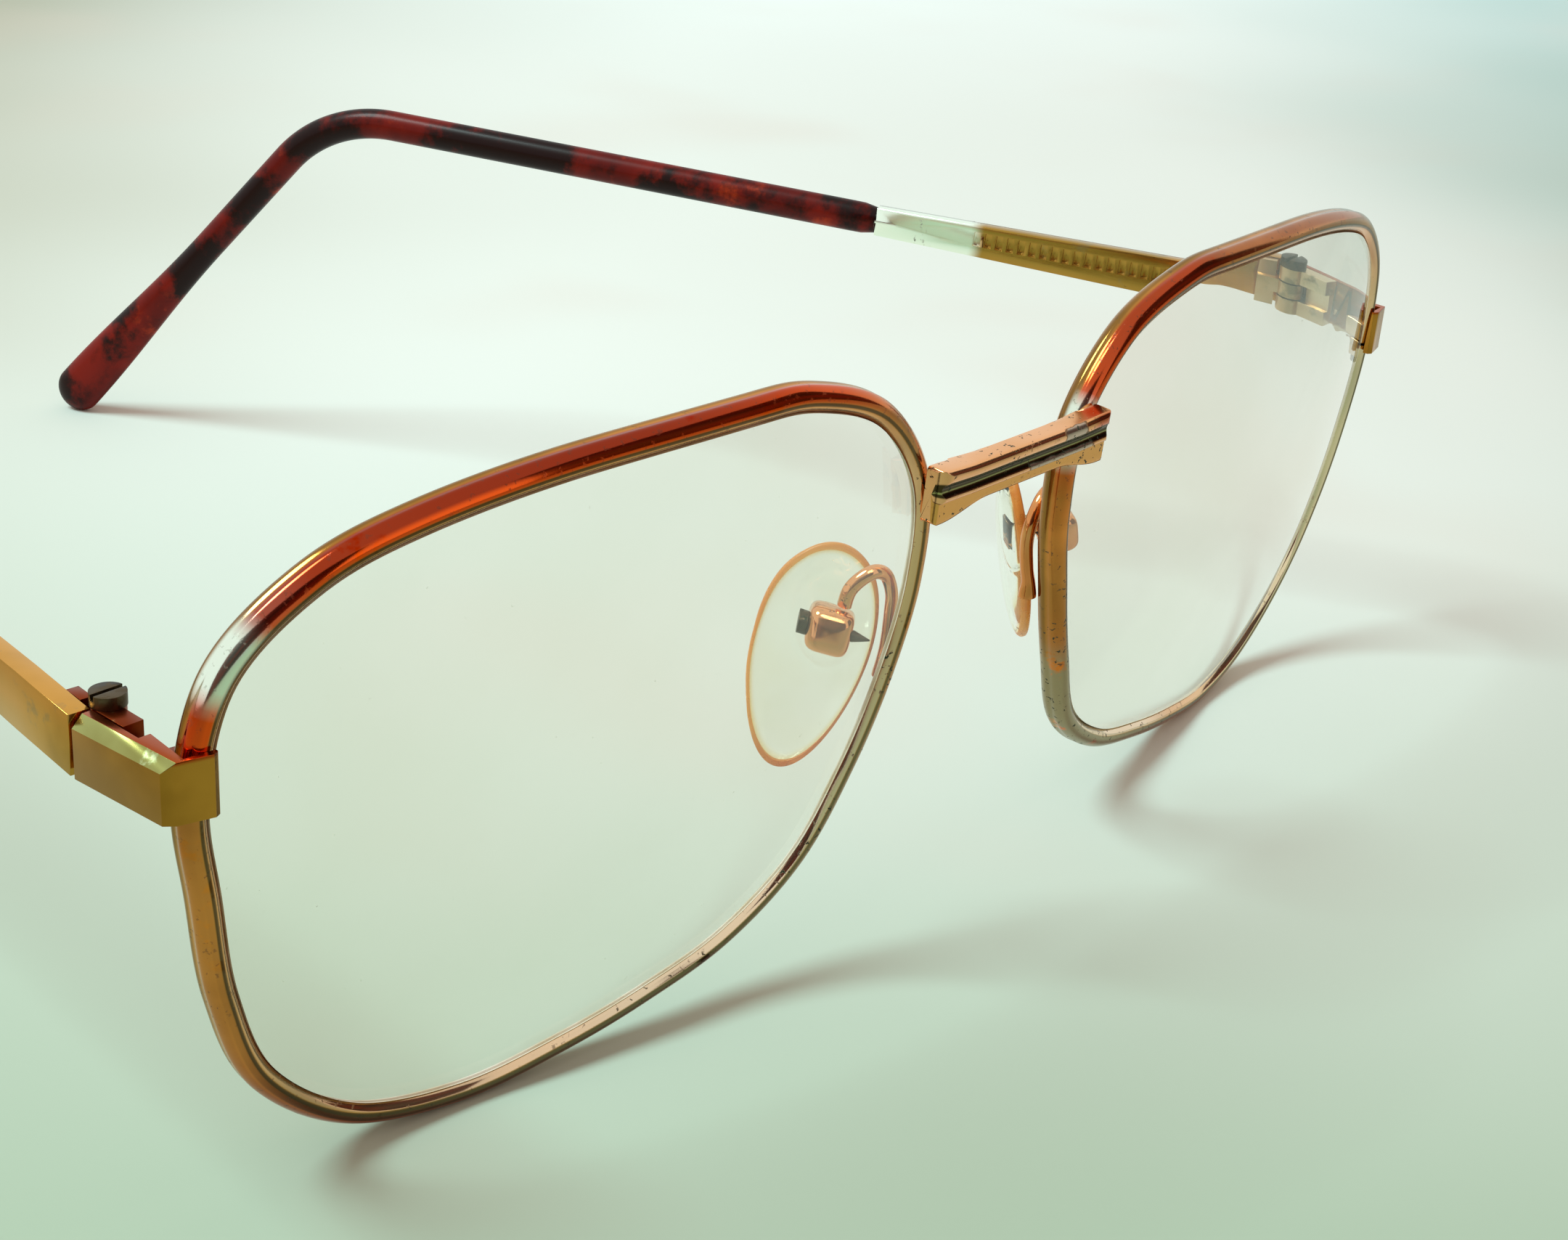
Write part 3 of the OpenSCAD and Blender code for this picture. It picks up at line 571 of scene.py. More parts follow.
# %% Section and sweep of the rim
LIP = 0.36*RIM_D
ROUND_FROM = -0.2
DENT_DEEP, DENT_SPREAD = 0.12, math.radians(13)
angles = np.radians(np.linspace(90, -90, 33))
dent = DENT_DEEP*np.exp(-(angles/DENT_SPREAD)**2)
outer = np.stack([ROUND_FROM + (RIM_W/2 - ROUND_FROM)*np.cos(angles) - dent, RIM_D/2*np.sin(angles)], 1)
front_lip = through([outer[-1], (-0.48, -1.04), (-0.7, -LIP), (-0.82, -0.64), (-RIM_W/2, -GROOVE_W/2),
                     (-RIM_W/2, -GROOVE_W/2), (GROOVE_DEPTH - RIM_W/2, 0)], 3)[1:]
section = np.vstack([outer, front_lip, (front_lip*[1, -1])[-2::-1]])
SPLIT = 0.02
stations = np.linspace(SPLIT, len(OUTLINE) - SPLIT, 420)
rim_grid = leaned(lens_to_front(rim_point(stations[:, None], section[:, 0], section[:, 1])))

low, high = (np.array(corner)/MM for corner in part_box("left_eyewire"))
own = rim_grid.reshape(-1, 3)
SHIFT = np.array([0, *((low + high)/2 - (own.min(0) + own.max(0))/2)[1:]])
print("the front stands", SHIFT.round(3), "mm from its own frame; box difference",
      ((own.max(0) - own.min(0)) - (high - low)).round(3))


def in_front(p):
    """From the front's own frame to the table: leaned, then moved."""
    return leaned(p) + SHIFT


for name, side in SIDES.items():
    piece(name + "_rim", [on_side(rim_grid + SHIFT, side)], "front",
          far_rim if side > 0 else near_rim, [name + "_eyewire"])

# %% [markdown]
# ## The lenses
# A lens is a thin bent plate with a ridge round its edge that sits in the rim's groove. Both
# faces are rings that shrink towards the middle, and the front bulges a little more than the
# back. Real glass with its own thickness is used, so the pads behind it are seen through it. The
# edge is ground, not polished, so it is pale and matt and gets a material of its own.

# %% Lens finish
glass, tree, shader, place = blank("lens_glass")
haze = drifting(tree, place, 60.0, (252, 248, 244), (248, 245, 239))
dust = use(tree, specks, Place=place, Size=700.0, Reach=0.07, Cover=0.6)
feed(shader, {"Transmission Weight": 1.0, "IOR": 1.5, "Base Color": mix(tree, dust, haze, linear(205, 205, 190)),
              "Roughness": times(tree, dust, 0.3)})

ground, tree, shader, place = blank("lens_ground_edge")
feed(shader, {"Base Color": drifting(tree, place, 300.0, (238, 240, 226), (214, 208, 178)),
              "Roughness": ramp(tree, use(tree, rubbing, Place=place), 0.4, 1.0, 0.35, 0.6)})
print("lens finishes ready")

# %% Lens surfaces
LENS_EDGE, LENS_CROWN, LENS_GAP = 1.6, 0.8, 0.05
body_n = -RIM_W/2 - LENS_GAP
ridge = [(body_n, -LENS_EDGE/2), (body_n, 2*LENS_GAP - GROOVE_W/2), (body_n + GROOVE_DEPTH - LENS_GAP, 0),
         (body_n, GROOVE_W/2 - 2*LENS_GAP), (body_n, LENS_EDGE/2)]
turn = np.linspace(0, len(OUTLINE), 252, endpoint=False)
edge, middle_line = rim_point(turn, body_n, 0), outline(turn)


def face_rings(shares, half, crown):
    """Rings at shares of the edge: on the ball surface, moved by half plus a crown that grows to the middle."""
    share = np.asarray(shares)[:, None]
    u, v = edge[:, 0]*share, edge[:, 2]*share
    step = (sag(middle_line[:, 0], middle_line[:, 1]) - sag(edge[:, 0], edge[:, 2]))*share**2
    return np.stack([u, sag(u, v) + step + half - crown*(1 - share**2), v], -1)


shares = np.linspace(0.02, 1, 30)
lens_grid = np.concatenate([
    face_rings(shares[:-1], -LENS_EDGE/2, LENS_CROWN),
    np.stack([rim_point(turn, n, b) for n, b in ridge]),
    face_rings(shares[-2::-1], LENS_EDGE/2, 0),
])


def second_finish(shape, finish, chosen):
    """Gives the shape a second material on its first faces, where chosen is true for them."""
    shape.data.materials.append(finish)
    rest = len(shape.data.polygons) - len(chosen)
    shape.data.polygons.foreach_set("material_index", np.append(chosen, np.zeros(rest)).astype(np.int32))


def lets_light_pass(shape):
    """A clear piece casts no shadow and sends no light back, so the table below it stays pale."""
    shape.visible_shadow = shape.visible_diffuse = False


for name, side in SIDES.items():
    lens = piece(name + "_glass", [on_side(in_front(lens_to_front(lens_grid)), side)], "front", glass,
                 [name + "_lens"], sharp=25)
    rows = np.repeat(np.arange(len(lens_grid) - 1), len(turn))
    second_finish(lens, ground, (rows >= len(shares) - 1) & (rows < len(shares) - 2 + len(ridge)))
    lets_light_pass(lens)

# %% [markdown]
# ## The bridge
# The bridge is a short bar across the front of both rims. Its front has a rounded upper lip, a
# hollow, a lower lip and a flat band, and its ends are rounded like a nose. The profile is one
# line from the back over the top to the underside, repeated across the bar, with the underside
# rising between the rims. Its finish follows the profile: pink gold on top, a painted dark
# reflection in the hollow with a painted pale highlight streak, a painted dark red shade under
# the lower lip, peach on the band, a painted red reflection at its left end, and two grey rubbed
# patches with dark edges.
# The visible bar stands a little higher than the solid, and its underside is smoother.


# %% Bridge finish
def bridge_marks(tree, place, colour, worn_mask, speck_mask):
    """Colours that follow the profile, and the rubbed patches with their dark borders."""
    run, around = follow(tree)
    hollow, flat = stripe(tree, around, 0.40, 0.07, 0.03), stripe(tree, around, 0.71, 0.1, 0.02)
    # Two thin lines: the first a painted dark red shade under the lower lip, the second a painted pale highlight
    # streak in the hollow.
    dark_line, highlight_streak = stripe(tree, around, 0.587, 0.008, 0.012), stripe(tree, around, 0.425, 0.006, 0.012)
    cloud = noise(tree, place, 900.0, 3.0)
    ragged_run = calc(tree, "MULTIPLY_ADD", cloud, 0.09, calc(tree, "SUBTRACT", run, 0.045))
    ragged_around = calc(tree, "MULTIPLY_ADD", cloud, 0.06, calc(tree, "SUBTRACT", around, 0.03))

    def areas(*sizes):
        """Two ragged patches: each a middle and half along the bar, the same on the profile, and a softness."""
        return calc(tree, "MAXIMUM", *(
            times(tree, stripe(tree, ragged_run, u, u_half, soft), stripe(tree, ragged_around, v, v_half, soft))
            for u, u_half, v, v_half, soft in sizes))

    rubbed = areas((0.68, 0.042, 0.24, 0.075, 0.008), (0.65, 0.13, 0.515, 0.04, 0.012))
    wider = areas((0.68, 0.052, 0.24, 0.085, 0.008), (0.65, 0.14, 0.515, 0.052, 0.012))
    border = times(tree, calc(tree, "SUBTRACT", wider, rubbed), 0.8)
    # A painted red reflection on the top lip at the left end of the bar.
    reflected_red_end = times(tree, ramp(tree, run, 0.74, 0.82), stripe(tree, around, 0.24, 0.06, 0.03))
    colour = lay(
        tree, colour,
        (flat, PEACH),
        # A painted dark reflection in the hollow.
        (times(tree, hollow, 0.95), linear(40, 40, 20)),
        # A painted pale highlight streak in the hollow.
        (times(tree, highlight_streak, 0.6), linear(206, 196, 130)),
        # A painted dark red shade under the lower lip.
        (times(tree, dark_line, 0.75), linear(96, 38, 12)),
        (times(tree, reflected_red_end, 0.75), linear(176, 54, 14)),
    )
    worn_mask = calc(tree, "MAXIMUM", rubbed, times(tree, worn_mask, 0.4))
    return colour, worn_mask, calc(tree, "MAXIMUM", border, speck_mask)


bridge_finish = metal("bridge_plate", PINK_GOLD, linear(240, 168, 110), worn=linear(190, 164, 144), cover=0.25,
                      speck=0.9, speck_size=1500.0, rough=0.15, extra=bridge_marks)

# %% Bridge surface
BRIDGE_H, BRIDGE_D, BRIDGE_TOP = 3.5, 1.7, 8.3
half_len = BRIDGE_W/2 + RIM_W/2 + 0.15
bridge_front = -RIM_D/2 - 0.25 - BRIDGE_D
depth = BRIDGE_D + 0.6
profile = through([
    (depth, -0.1), (depth, -0.1), (1.4, 0), (0.55, 0), (0.24, -0.06), (0.05, -0.26), (0.0, -0.5), (0.1, -0.8),
    (0.32, -1.02), (0.42, -1.25), (0.38, -1.48), (0.2, -1.68), (0.15, -1.85), (0.25, -2.02), (0.43, -2.12),
    (0.45, -2.3), (0.45, -2.8), (0.45, -3.2), (0.49, -3.42), (0.65, -BRIDGE_H), (depth, -BRIDGE_H),
    (depth, -BRIDGE_H), (depth, -1.8), (depth, -0.1)], 4)[:-1]
across = half_len*np.sin(np.radians(np.linspace(-90, 90, 121)))
from_end = half_len - np.abs(across)
NOSE_R, ROUND_R = 0.9, 0.25
push = NOSE_R - np.sqrt(np.clip(NOSE_R**2 - np.clip(NOSE_R - from_end, 0, None)**2, 0, None))
shrink = ROUND_R - np.sqrt(np.clip(ROUND_R**2 - np.clip(ROUND_R - from_end, 0, None)**2, 0, None))


def soft_step(x):
    """0 below 0, 1 above 1, and three x squared minus two x cubed between."""
    x = np.clip(x, 0, 1)
    return x*x*(3 - 2*x)


UNDER_RISE, TOP_LIFT, END_LIFT, SEAT_IN, ARCH_OUT = 0.75, 0.3, 0.15, 0.15, 0.25
BAND_LOW, SEAT_FROM = 2.1, 7.3
rise = UNDER_RISE*soft_step((from_end - 0.6)/5.0)
lift = TOP_LIFT + END_LIFT*(1 - soft_step(from_end/4.0))
back_in = SEAT_IN*(1 - soft_step((np.abs(across) - SEAT_FROM)/0.12)) - ARCH_OUT*soft_step((from_end - 2.2)/4.5)
y = np.maximum(profile[None, :, 0], push[:, None])
y = np.minimum(y, (BRIDGE_D + back_in)[:, None])
drop = np.clip(-BAND_LOW - profile[None, :, 1], 0, None)
z = profile[None, :, 1] + drop*rise[:, None]/(BRIDGE_H - BAND_LOW)
z = -BRIDGE_H/2 + (z + BRIDGE_H/2)*(1 - shrink[:, None]/BRIDGE_H*2)
bridge_grid = np.stack([np.repeat(across[:, None], len(profile), 1), bridge_front + y,
                        BRIDGE_TOP + z + lift[:, None]*soft_step((z + BRIDGE_H)/BRIDGE_H)], -1)
piece("bridge_bar", [in_front(bridge_grid)], "front", bridge_finish, ["bridge"])

# %% [markdown]
# ## The temples
# Each temple is a flat metal bar with cells pressed into its inner face. Its last stretch
# before the plastic gets a painted white reflection. The tip is a sleeve of tortoiseshell
# plastic on a core wire: straight, bent down behind the ear, and widened into a paddle. The bars
# keep the shape of the solid with soft edges. The sleeves are ovals carried along the temple's line.


# %% Temple line
TEMPLE_LEN, METAL_LEN, BEND_R = 88.5, 39.5, 14.0
RISE, DROP = math.radians(3.1), math.radians(48.5)
SLEEVE_H, SLEEVE_T, PADDLE_W, WIDEN_FROM = 2.9, 2.5, 4.8, 0.35
FOLD = {"left": math.radians(26), "right": math.radians(5)}
BAR_MIDDLE = 1.77
HINGE = {name: np.array(joints[name + "_temple_fold"]["pos_m"])/MM for name in SIDES}


def on_temple(d, h, w, name):
    """A point d along, h up and w outwards in the temple's upright plane, turned by its fold about the hinge."""
    x, y = BAR_MIDDLE + w, d
    fold, hinge, side = FOLD[name], HINGE[name], SIDES[name]
    return on_side(np.stack([abs(hinge[0]) + x*math.cos(fold) - y*math.sin(fold),
                             hinge[1] + x*math.sin(fold) + y*math.cos(fold), hinge[2] + h + 0*x], -1), side)


def temple_line():
    """Middle line and slope: straight to the bend, an arc of radius BEND_R, then straight to the paddle's end."""
    d = np.linspace(METAL_LEN + 0.06, TEMPLE_LEN, 40)
    slopes = RISE - (RISE + DROP)*np.linspace(0, 1, 30)[1:]
    arc = np.array([math.sin(RISE), -math.cos(RISE)])*BEND_R
    bend = TEMPLE_LEN*np.array([math.cos(RISE), math.sin(RISE)]) + arc \
        + BEND_R*np.stack([-np.sin(slopes), np.cos(slopes)], 1)
    down = np.array([math.cos(DROP), -math.sin(DROP)])
    ear_len = (HINGE["left"][2] + bend[-1, 1] - PADDLE_W/2)/math.sin(DROP)
    f, cap_angle = np.linspace(0, 1, 40)[1:], np.radians(np.linspace(0, 88, 14)[1:])
    ear = bend[-1] + ear_len*f[:, None]*down
    cap = ear[-1] + PADDLE_W/2*np.sin(cap_angle)[:, None]*down
    line = np.vstack([d[:, None]*[math.cos(RISE), math.sin(RISE)], bend, ear, cap])
    slope = np.concatenate([0*d + RISE, slopes, 0*f - DROP, 0*cap_angle - DROP])
    widen = np.where(f < WIDEN_FROM, 0, (1 - np.cos(np.pi*(f - WIDEN_FROM)/(1 - WIDEN_FROM)))/2)
    shrink = np.cos(cap_angle)
    even = np.concatenate([0*d, 0*slopes])
    half_h = np.concatenate([even + SLEEVE_H/2, SLEEVE_H/2 + (PADDLE_W - SLEEVE_H)/2*widen, PADDLE_W/2*shrink])
    half_t = np.concatenate([even + SLEEVE_T/2, 0*widen + SLEEVE_T/2, SLEEVE_T/2*shrink])
    mouth = 0.25*np.exp(-np.arange(len(half_h))/0.35)
    return line, slope, half_h - mouth, half_t - mouth


line, slope, half_h, half_t = temple_line()
print("ear tip stations:", len(line), "its end in the temple plane:", line[-1].round(2))

# %% Tortoiseshell finish
shell, tree, shader, place = blank("tortoise_plastic")
colour = lay(
    tree, drifting(tree, place, 150.0, (88, 7, 2), (118, 18, 5)),
    (use(tree, patches, Place=place, Size=210.0, Cover=0.4, Edge=0.14), linear(166, 50, 14)),
    (use(tree, patches, Place=place, Size=120.0, Cover=0.6, Edge=0.12), linear(26, 1, 0)),
)
feed(shader, {"Base Color": colour, "Roughness": 0.34, "Specular IOR Level": 0.14, "Coat Weight": 0.06,
              "Coat Roughness": 0.1})
scuffed(shader, 0.08, use(tree, rubbing, Place=place))
print("tortoiseshell ready")

# %% Ear tips
round_angles = np.radians(np.linspace(0, 360, 40, endpoint=False))
h = half_h[:, None]*np.cos(round_angles)
w = half_t[:, None]*np.sin(round_angles)
d = line[:, 0, None] - h*np.sin(slope)[:, None]
up = line[:, 1, None] + h*np.cos(slope)[:, None]
for name in SIDES:
    piece(name + "_sleeve", [on_temple(d, up, w, name)], name + "_temple", shell, [name + "_ear_tip"])

# %% Temple bars
WHITE_REFLECTION_AT, CELLS_AT = 35.2, 21.0


def temple_finish(name):
    """Gold bar that is yellow over the pressed cells, with a painted white reflection before the plastic."""
    def centre(along_bar):
        """The middle of the bar's height at a distance along it, in metres."""
        return tuple(on_temple(np.array(along_bar), np.array(along_bar*math.tan(RISE)), np.array(0.0), name)*MM)

    def stretches(tree, place, colour, worn_mask, speck_mask):
        yellow = use(tree, spot, Place=place, Centre=centre(CELLS_AT), Reach=10.5*MM, Ragged=0.2)
        # A painted white reflection on the last stretch of the bar.
        white = use(tree, spot, Place=place, Centre=centre(WHITE_REFLECTION_AT), Reach=6.3*MM, Ragged=0.12)
        colour = lay(tree, colour, (times(tree, yellow, 0.75), linear(164, 128, 56)), (white, PAINTED_WHITE_SHINE))
        return colour, times(tree, worn_mask, 0.5), speck_mask
    return metal("temple_plate_" + name, linear(222, 160, 80), linear(184, 132, 58), speck=0.3, rough=0.14,
                 extra=stretches)


for name in SIDES:
    softened(name + "_temple_bar", 0.16, name + "_temple", temple_finish(name), longer=0.5)

# %% [markdown]
# ## End pieces, hinges, locks and screws
# The end piece is a bent strip that joins the rim to the hinge. Its outer edge has a bevel, whose
# faces that look up and outwards get a painted pale highlight, and the top of its lug is dark
# red. The right hinge behind it is red brass, and the left one is painted paler, standing in for
# the reflection on the lens in front of it. The screw heads are nearly black.

# %% End piece and hinge finishes
END_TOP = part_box("left_end_piece")[1].z


def red_towards_top(tree, place, colour, worn_mask, speck_mask):
    """A dark red that fades down from the top face."""
    height = add(tree, "ShaderNodeSeparateXYZ", {0: place}).outputs["Z"]
    top = ramp(tree, height, END_TOP - 0.3*MM, END_TOP - 0.05*MM)
    return lay(tree, colour, (times(tree, top, 0.8), linear(170, 52, 12))), worn_mask, speck_mask


end_finish = metal("end_plate", linear(198, 136, 54), linear(162, 108, 38), worn=linear(180, 152, 96),
                   cover=0.2, speck=0.12, rough=0.22, extra=red_towards_top)
# A painted pale highlight for the bevel faces that look up and outwards.
highlight_bevel_finish = metal("end_plate_bevel_highlight", linear(178, 176, 110), linear(150, 142, 80), worn=linear(198, 206, 160),
                     cover=0.25, speck=0.2, rough=0.2)
hinge_finish = {
    "right": metal("hinge_metal", COPPER, linear(96, 30, 10), worn=linear(160, 120, 78), cover=0.3, speck=0.5,
                   rough=0.32),
    # Painted pale: stands in for the reflection on the lens in front of this hinge.
    "left": metal("hinge_metal_painted_glare", linear(226, 202, 164), linear(196, 160, 116), cover=0.4, speck=0.3,
                  rough=0.3),
}
screw_finish = metal("screw_steel", STEEL, STEEL_DARK, worn=linear(88, 70, 50), cover=0.5, speck=0.6,
                     rough=0.34, size=400.0)
print("fitting finishes ready")

# %% Fittings with soft edges
for name, side in SIDES.items():
    end = softened(name + "_end_piece", 0.26, "front", end_finish, longer=0.5, steps=4)
    # The bevel finish goes on faces by the way they face: a painted pale highlight on those that look up and
    # outwards.
    facing = np.zeros(3*len(end.data.polygons))
    end.data.polygons.foreach_get("normal", facing)
    outwards, _, upwards = (facing.reshape(-1, 3)*[side, 1, 1]).T
    bevel = (upwards > 0.35) & (upwards < 0.93) & (outwards > 0.3)
    second_finish(end, highlight_bevel_finish, bevel)
    print("pale bevel faces:", int(bevel.sum()))
    for part, body in (("_front_hinge", "front"), ("_temple_hinge", name + "_temple")):
        softened(name + part, 0.08, body, hinge_finish[name])
    for block in ("_upper_block", "_lower_block"):
        softened(name + block, 0.1, "front", hinge_finish[name])
    for screw, round_by in (("_hinge_screw", 0.05), ("_rim_screw", 0.03), ("_pad_screw", 0.12)):
        softened(name + screw, round_by, "front", screw_finish, longer=0.05, steps=3)

# %% [markdown]
# ## Nose pads and their arms
# A pad arm is a wire that hooks up and over behind the rim and ends in a small polished box.
# A screw through the box holds the clear pad, which can rock a little. The arm is a circle
# carried along a smooth line, thicker at its foot where it is soldered. The pad is an egg shape
# built from rings, with a fine oval ridge where its insert lies inside. Its outer edge has
# yellowed, so it gets a material of its own that lets less light through.

# %% Pad arm
BOX_AT = np.array([BRIDGE_W/2 + 5, 3.2, -3.6])
WIRE_R, SOLDER_GAP, FOOT_THICKER, FOOT_LONG = 0.5, 0.05, 0.35, 0.9
foot = lens_to_front(rim_point(10.0, 0.5, RIM_D/2 + SOLDER_GAP + WIRE_R))
route = through([
    foot + [0, 0, -0.6], foot + [-0.1, 0.05, 0.5], foot + [-0.4, 0.2, 1.8], foot + [-0.62, 0.42, 3.8],
    foot + [-0.45, 0.42, 5.4], foot + [0.4, 0.5, 6.9], foot + [1.7, 0.75, 7.3],
    BOX_AT + [-1.35, -0.3, 2.7], BOX_AT + [-1, -0.1, 1]], 14)[:-5]
ahead = np.gradient(route, axis=0)
ahead /= np.linalg.norm(ahead, axis=1, keepdims=True)
across_wire = np.cross(ahead, [0.2, -1, 0.15])
across_wire /= np.linalg.norm(across_wire, axis=1, keepdims=True)
other_wire = np.cross(ahead, across_wire)
travelled = np.concatenate([[0], np.cumsum(np.linalg.norm(np.diff(route, axis=0), axis=1))])
wire_r = WIRE_R*(1 + FOOT_THICKER*np.exp(-(travelled/FOOT_LONG)**2))[:, None, None]
turns = np.radians(np.linspace(0, 360, 20, endpoint=False))[None, :, None]
arm_grid = route[:, None] + wire_r*(np.sin(turns)*across_wire[:, None] + np.cos(turns)*other_wire[:, None])
arm_finish = metal("arm_wire", linear(240, 168, 112), linear(214, 134, 76), cover=0.2, speck=0.45,
                   speck_size=1900.0, rough=0.08)
for name, side in SIDES.items():
    piece(name + "_arm", [on_side(in_front(arm_grid), side)], "front", arm_finish, [name + "_pad_arm"])

# %% Pad finishes
clear, tree, shader, place = blank("pad_plastic")
run, _ = follow(tree)
dirt = use(tree, specks, Place=place, Size=800.0, Reach=0.1, Cover=0.6)
colour = lay(tree, drifting(tree, place, 220.0, (253, 253, 247), (250, 249, 238)),
             (stripe(tree, run, 0.43, 0.2, 0.06), linear(244, 214, 150)), (dirt, linear(70, 60, 40)))
feed(shader, {"Transmission Weight": 1.0, "IOR": 1.42, "Base Color": colour,
              "Roughness": calc(tree, "MULTIPLY_ADD", dirt, 0.4, 0.05)})

aged, tree, shader, place = blank("pad_amber_edge")
amber = drifting(tree, place, 160.0, (238, 170, 84), (220, 126, 44))
dirt = use(tree, specks, Place=place, Size=900.0, Reach=0.12, Cover=0.6)
feed(shader, {"Transmission Weight": 0.3, "IOR": 1.42, "Base Color": mix(tree, dirt, amber, linear(110, 60, 20)),
              "Roughness": ramp(tree, use(tree, rubbing, Place=place), 0.4, 1.0, 0.2, 0.4)})
print("pad finishes ready")

# %% Pad surfaces
PAD_W, PAD_H, PAD_T, PAD_BACK = 7.7, 15.8, 1.4, 2.3
PAD_DOWN, PAD_ASIDE, PAD_TURN, EGG = 2.8, 0.45, math.radians(5), 0.13
INSERT_W, INSERT_H, INSERT_UP, RIDGE_HIGH, RIDGE_WIDE = 2.35, 3.3, 0.2, 0.12, 0.04
AMBER_FROM, AMBER_DEEP = 0.945, 0.9


def turned(x=0.0, y=0.0, z=0.0):
    """Rotation matrix that turns about x, then y, then z, in degrees."""
    return np.array(Matrix.Rotation(math.radians(z), 3, "Z") @ Matrix.Rotation(math.radians(y), 3, "Y")
                    @ Matrix.Rotation(math.radians(x), 3, "X"))


PAD_FRAME = turned(x=-14, z=50) @ turned(y=-8)


def at_box(p):
    """From the pad's own frame, x along its screw and y to the nose, to the table."""
    return in_front(np.asarray(p) @ PAD_FRAME.T + BOX_AT)


shape = through([(0.01, 0), (0.5, 0), (0.86, 0), (0.95, 0.03), (0.99, 0.12), (1, 0.26), (1, 0.44), (0.985, 0.6),
                 (0.95, 0.78), (0.86, 1.0), (0.7, 1.2), (0.5, 1.32), (0.25, 1.385), (0.01, PAD_T)], 8)
egg_angle = np.radians(np.linspace(0, 360, 120, endpoint=False))
egg = np.stack([PAD_W/2*np.cos(egg_angle)*(1 + EGG*np.sin(egg_angle)), PAD_H/2*np.sin(egg_angle)], -1)
flat = egg*shape[:, :1, None] + [PAD_ASIDE, -PAD_DOWN]
pad_x = flat[..., 0]*math.cos(PAD_TURN) - flat[..., 1]*math.sin(PAD_TURN)
pad_z = flat[..., 0]*math.sin(PAD_TURN) + flat[..., 1]*math.cos(PAD_TURN)
from_insert = np.hypot(pad_x/INSERT_W, (pad_z - INSERT_UP)/INSERT_H) - 1
ridge_up = RIDGE_HIGH*np.exp(-(from_insert/RIDGE_WIDE)**2)*(shape[:, 1:2] < 0.01)
pad_y = PAD_BACK + shape[:, 1:2] - ridge_up
pad_grid = np.stack([pad_x, pad_y, pad_z], -1)

TONGUE_R = 0.88
half_turn = np.radians(np.linspace(90, 270, 16))
upper = through([(PAD_BACK + 0.3, 1.15), (1.9, 0.8), (1.3, 0.65), (0.7, 0.68), (0.0, TONGUE_R)], 4)
tongue = np.vstack([upper[:-1], TONGUE_R*np.stack([np.cos(half_turn), np.sin(half_turn)], 1),
                    (upper*[1, -1])[-2::-1]])
steps_x = np.array([-0.7, -0.68, -0.6, 0.6, 0.68, 0.7])
inset = np.array([0.9, 0.96, 1, 1, 0.96, 0.9])
tongue_grid = np.stack([np.repeat(steps_x[:, None], len(tongue), 1), np.outer(inset, tongue[:, 0]),
                        np.outer(inset, tongue[:, 1])], -1)
box_turn = np.radians(np.linspace(0, 360, 64, endpoint=False))


def rounded_ring(half_x, half_z, y, power=4.5):
    """A rounded oblong at depth y: each half size times a cosine or sine raised to two over the power."""
    c, s = np.cos(box_turn), np.sin(box_turn)
    return np.stack([half_x*np.sign(c)*np.abs(c)**(2/power), 0*c + y, half_z*np.sign(s)*np.abs(s)**(2/power)], -1)


BOX_HALF, BOX_BACK, BOX_BULGE = 1.55, -0.2, 1.35
box_rows = [rounded_ring(BOX_HALF*np.sin(a)**0.45, BOX_HALF*np.sin(a)**0.45, BOX_BACK - BOX_BULGE*np.cos(a)**0.8)
            for a in np.radians(np.linspace(2, 90, 16))]
box_rows += [rounded_ring(*sizes) for sizes in (
    (BOX_HALF, BOX_HALF, 0.3), (BOX_HALF, BOX_HALF, 0.75), (1.5, 1.5, 0.93), (1.38, 1.4, 1.0), (0.95, 1.22, 1.0),
    (0.87, 1.16, 0.93), (0.85, 1.15, 0.8), (0.85, 1.15, -0.95), (0.3, 0.4, -1.05))]
share = (shape[:-1, 0] + shape[1:, 0])/2
on_rim = np.repeat((share > AMBER_FROM) & (shape[:-1, 1] < AMBER_DEEP), len(egg))
for name, side in SIDES.items():
    piece(name + "_box", [on_side(at_box(np.stack(box_rows)), side)], "front", arm_finish,
          [name + "_pad_box"])
    pad = piece(name + "_pad_plastic", [on_side(at_box(pad_grid), side), on_side(at_box(tongue_grid), side)],
                name + "_pad", clear, [name + "_nose_pad"])
    second_finish(pad, aged, on_rim)
    lets_light_pass(pad)

# %% [markdown]
# ## Table, light and camera
# The table is a pale cloth without texture of its own, only soft drifts of green grey, brown
# and rose, and a painted pool of light that turns it nearly white towards the far side. Towards
# one far side it also glows a little. A round lamp stands above, and the world fills the shadows
# with a warmer light than the one it shows. Two dark warm cards that only reflections can see
# give the polished metal something to mirror.

# %% Table
cloth, tree, shader, place = blank("table_cloth")
wave = calc(tree, "MULTIPLY_ADD", noise(tree, place, 9.0, 1.0), 0.08, -0.04)


def reach(direction):
    """How far a place lies along a level direction, bent a little by soft waves."""
    level = add(tree, "ShaderNodeVectorMath", {0: place, 1: direction}, operation="DOT_PRODUCT").outputs["Value"]
    return calc(tree, "ADD", level, wave)


deep, aside = reach((0.766, 0.643, 0.0)), reach((-0.643, 0.766, 0.0))
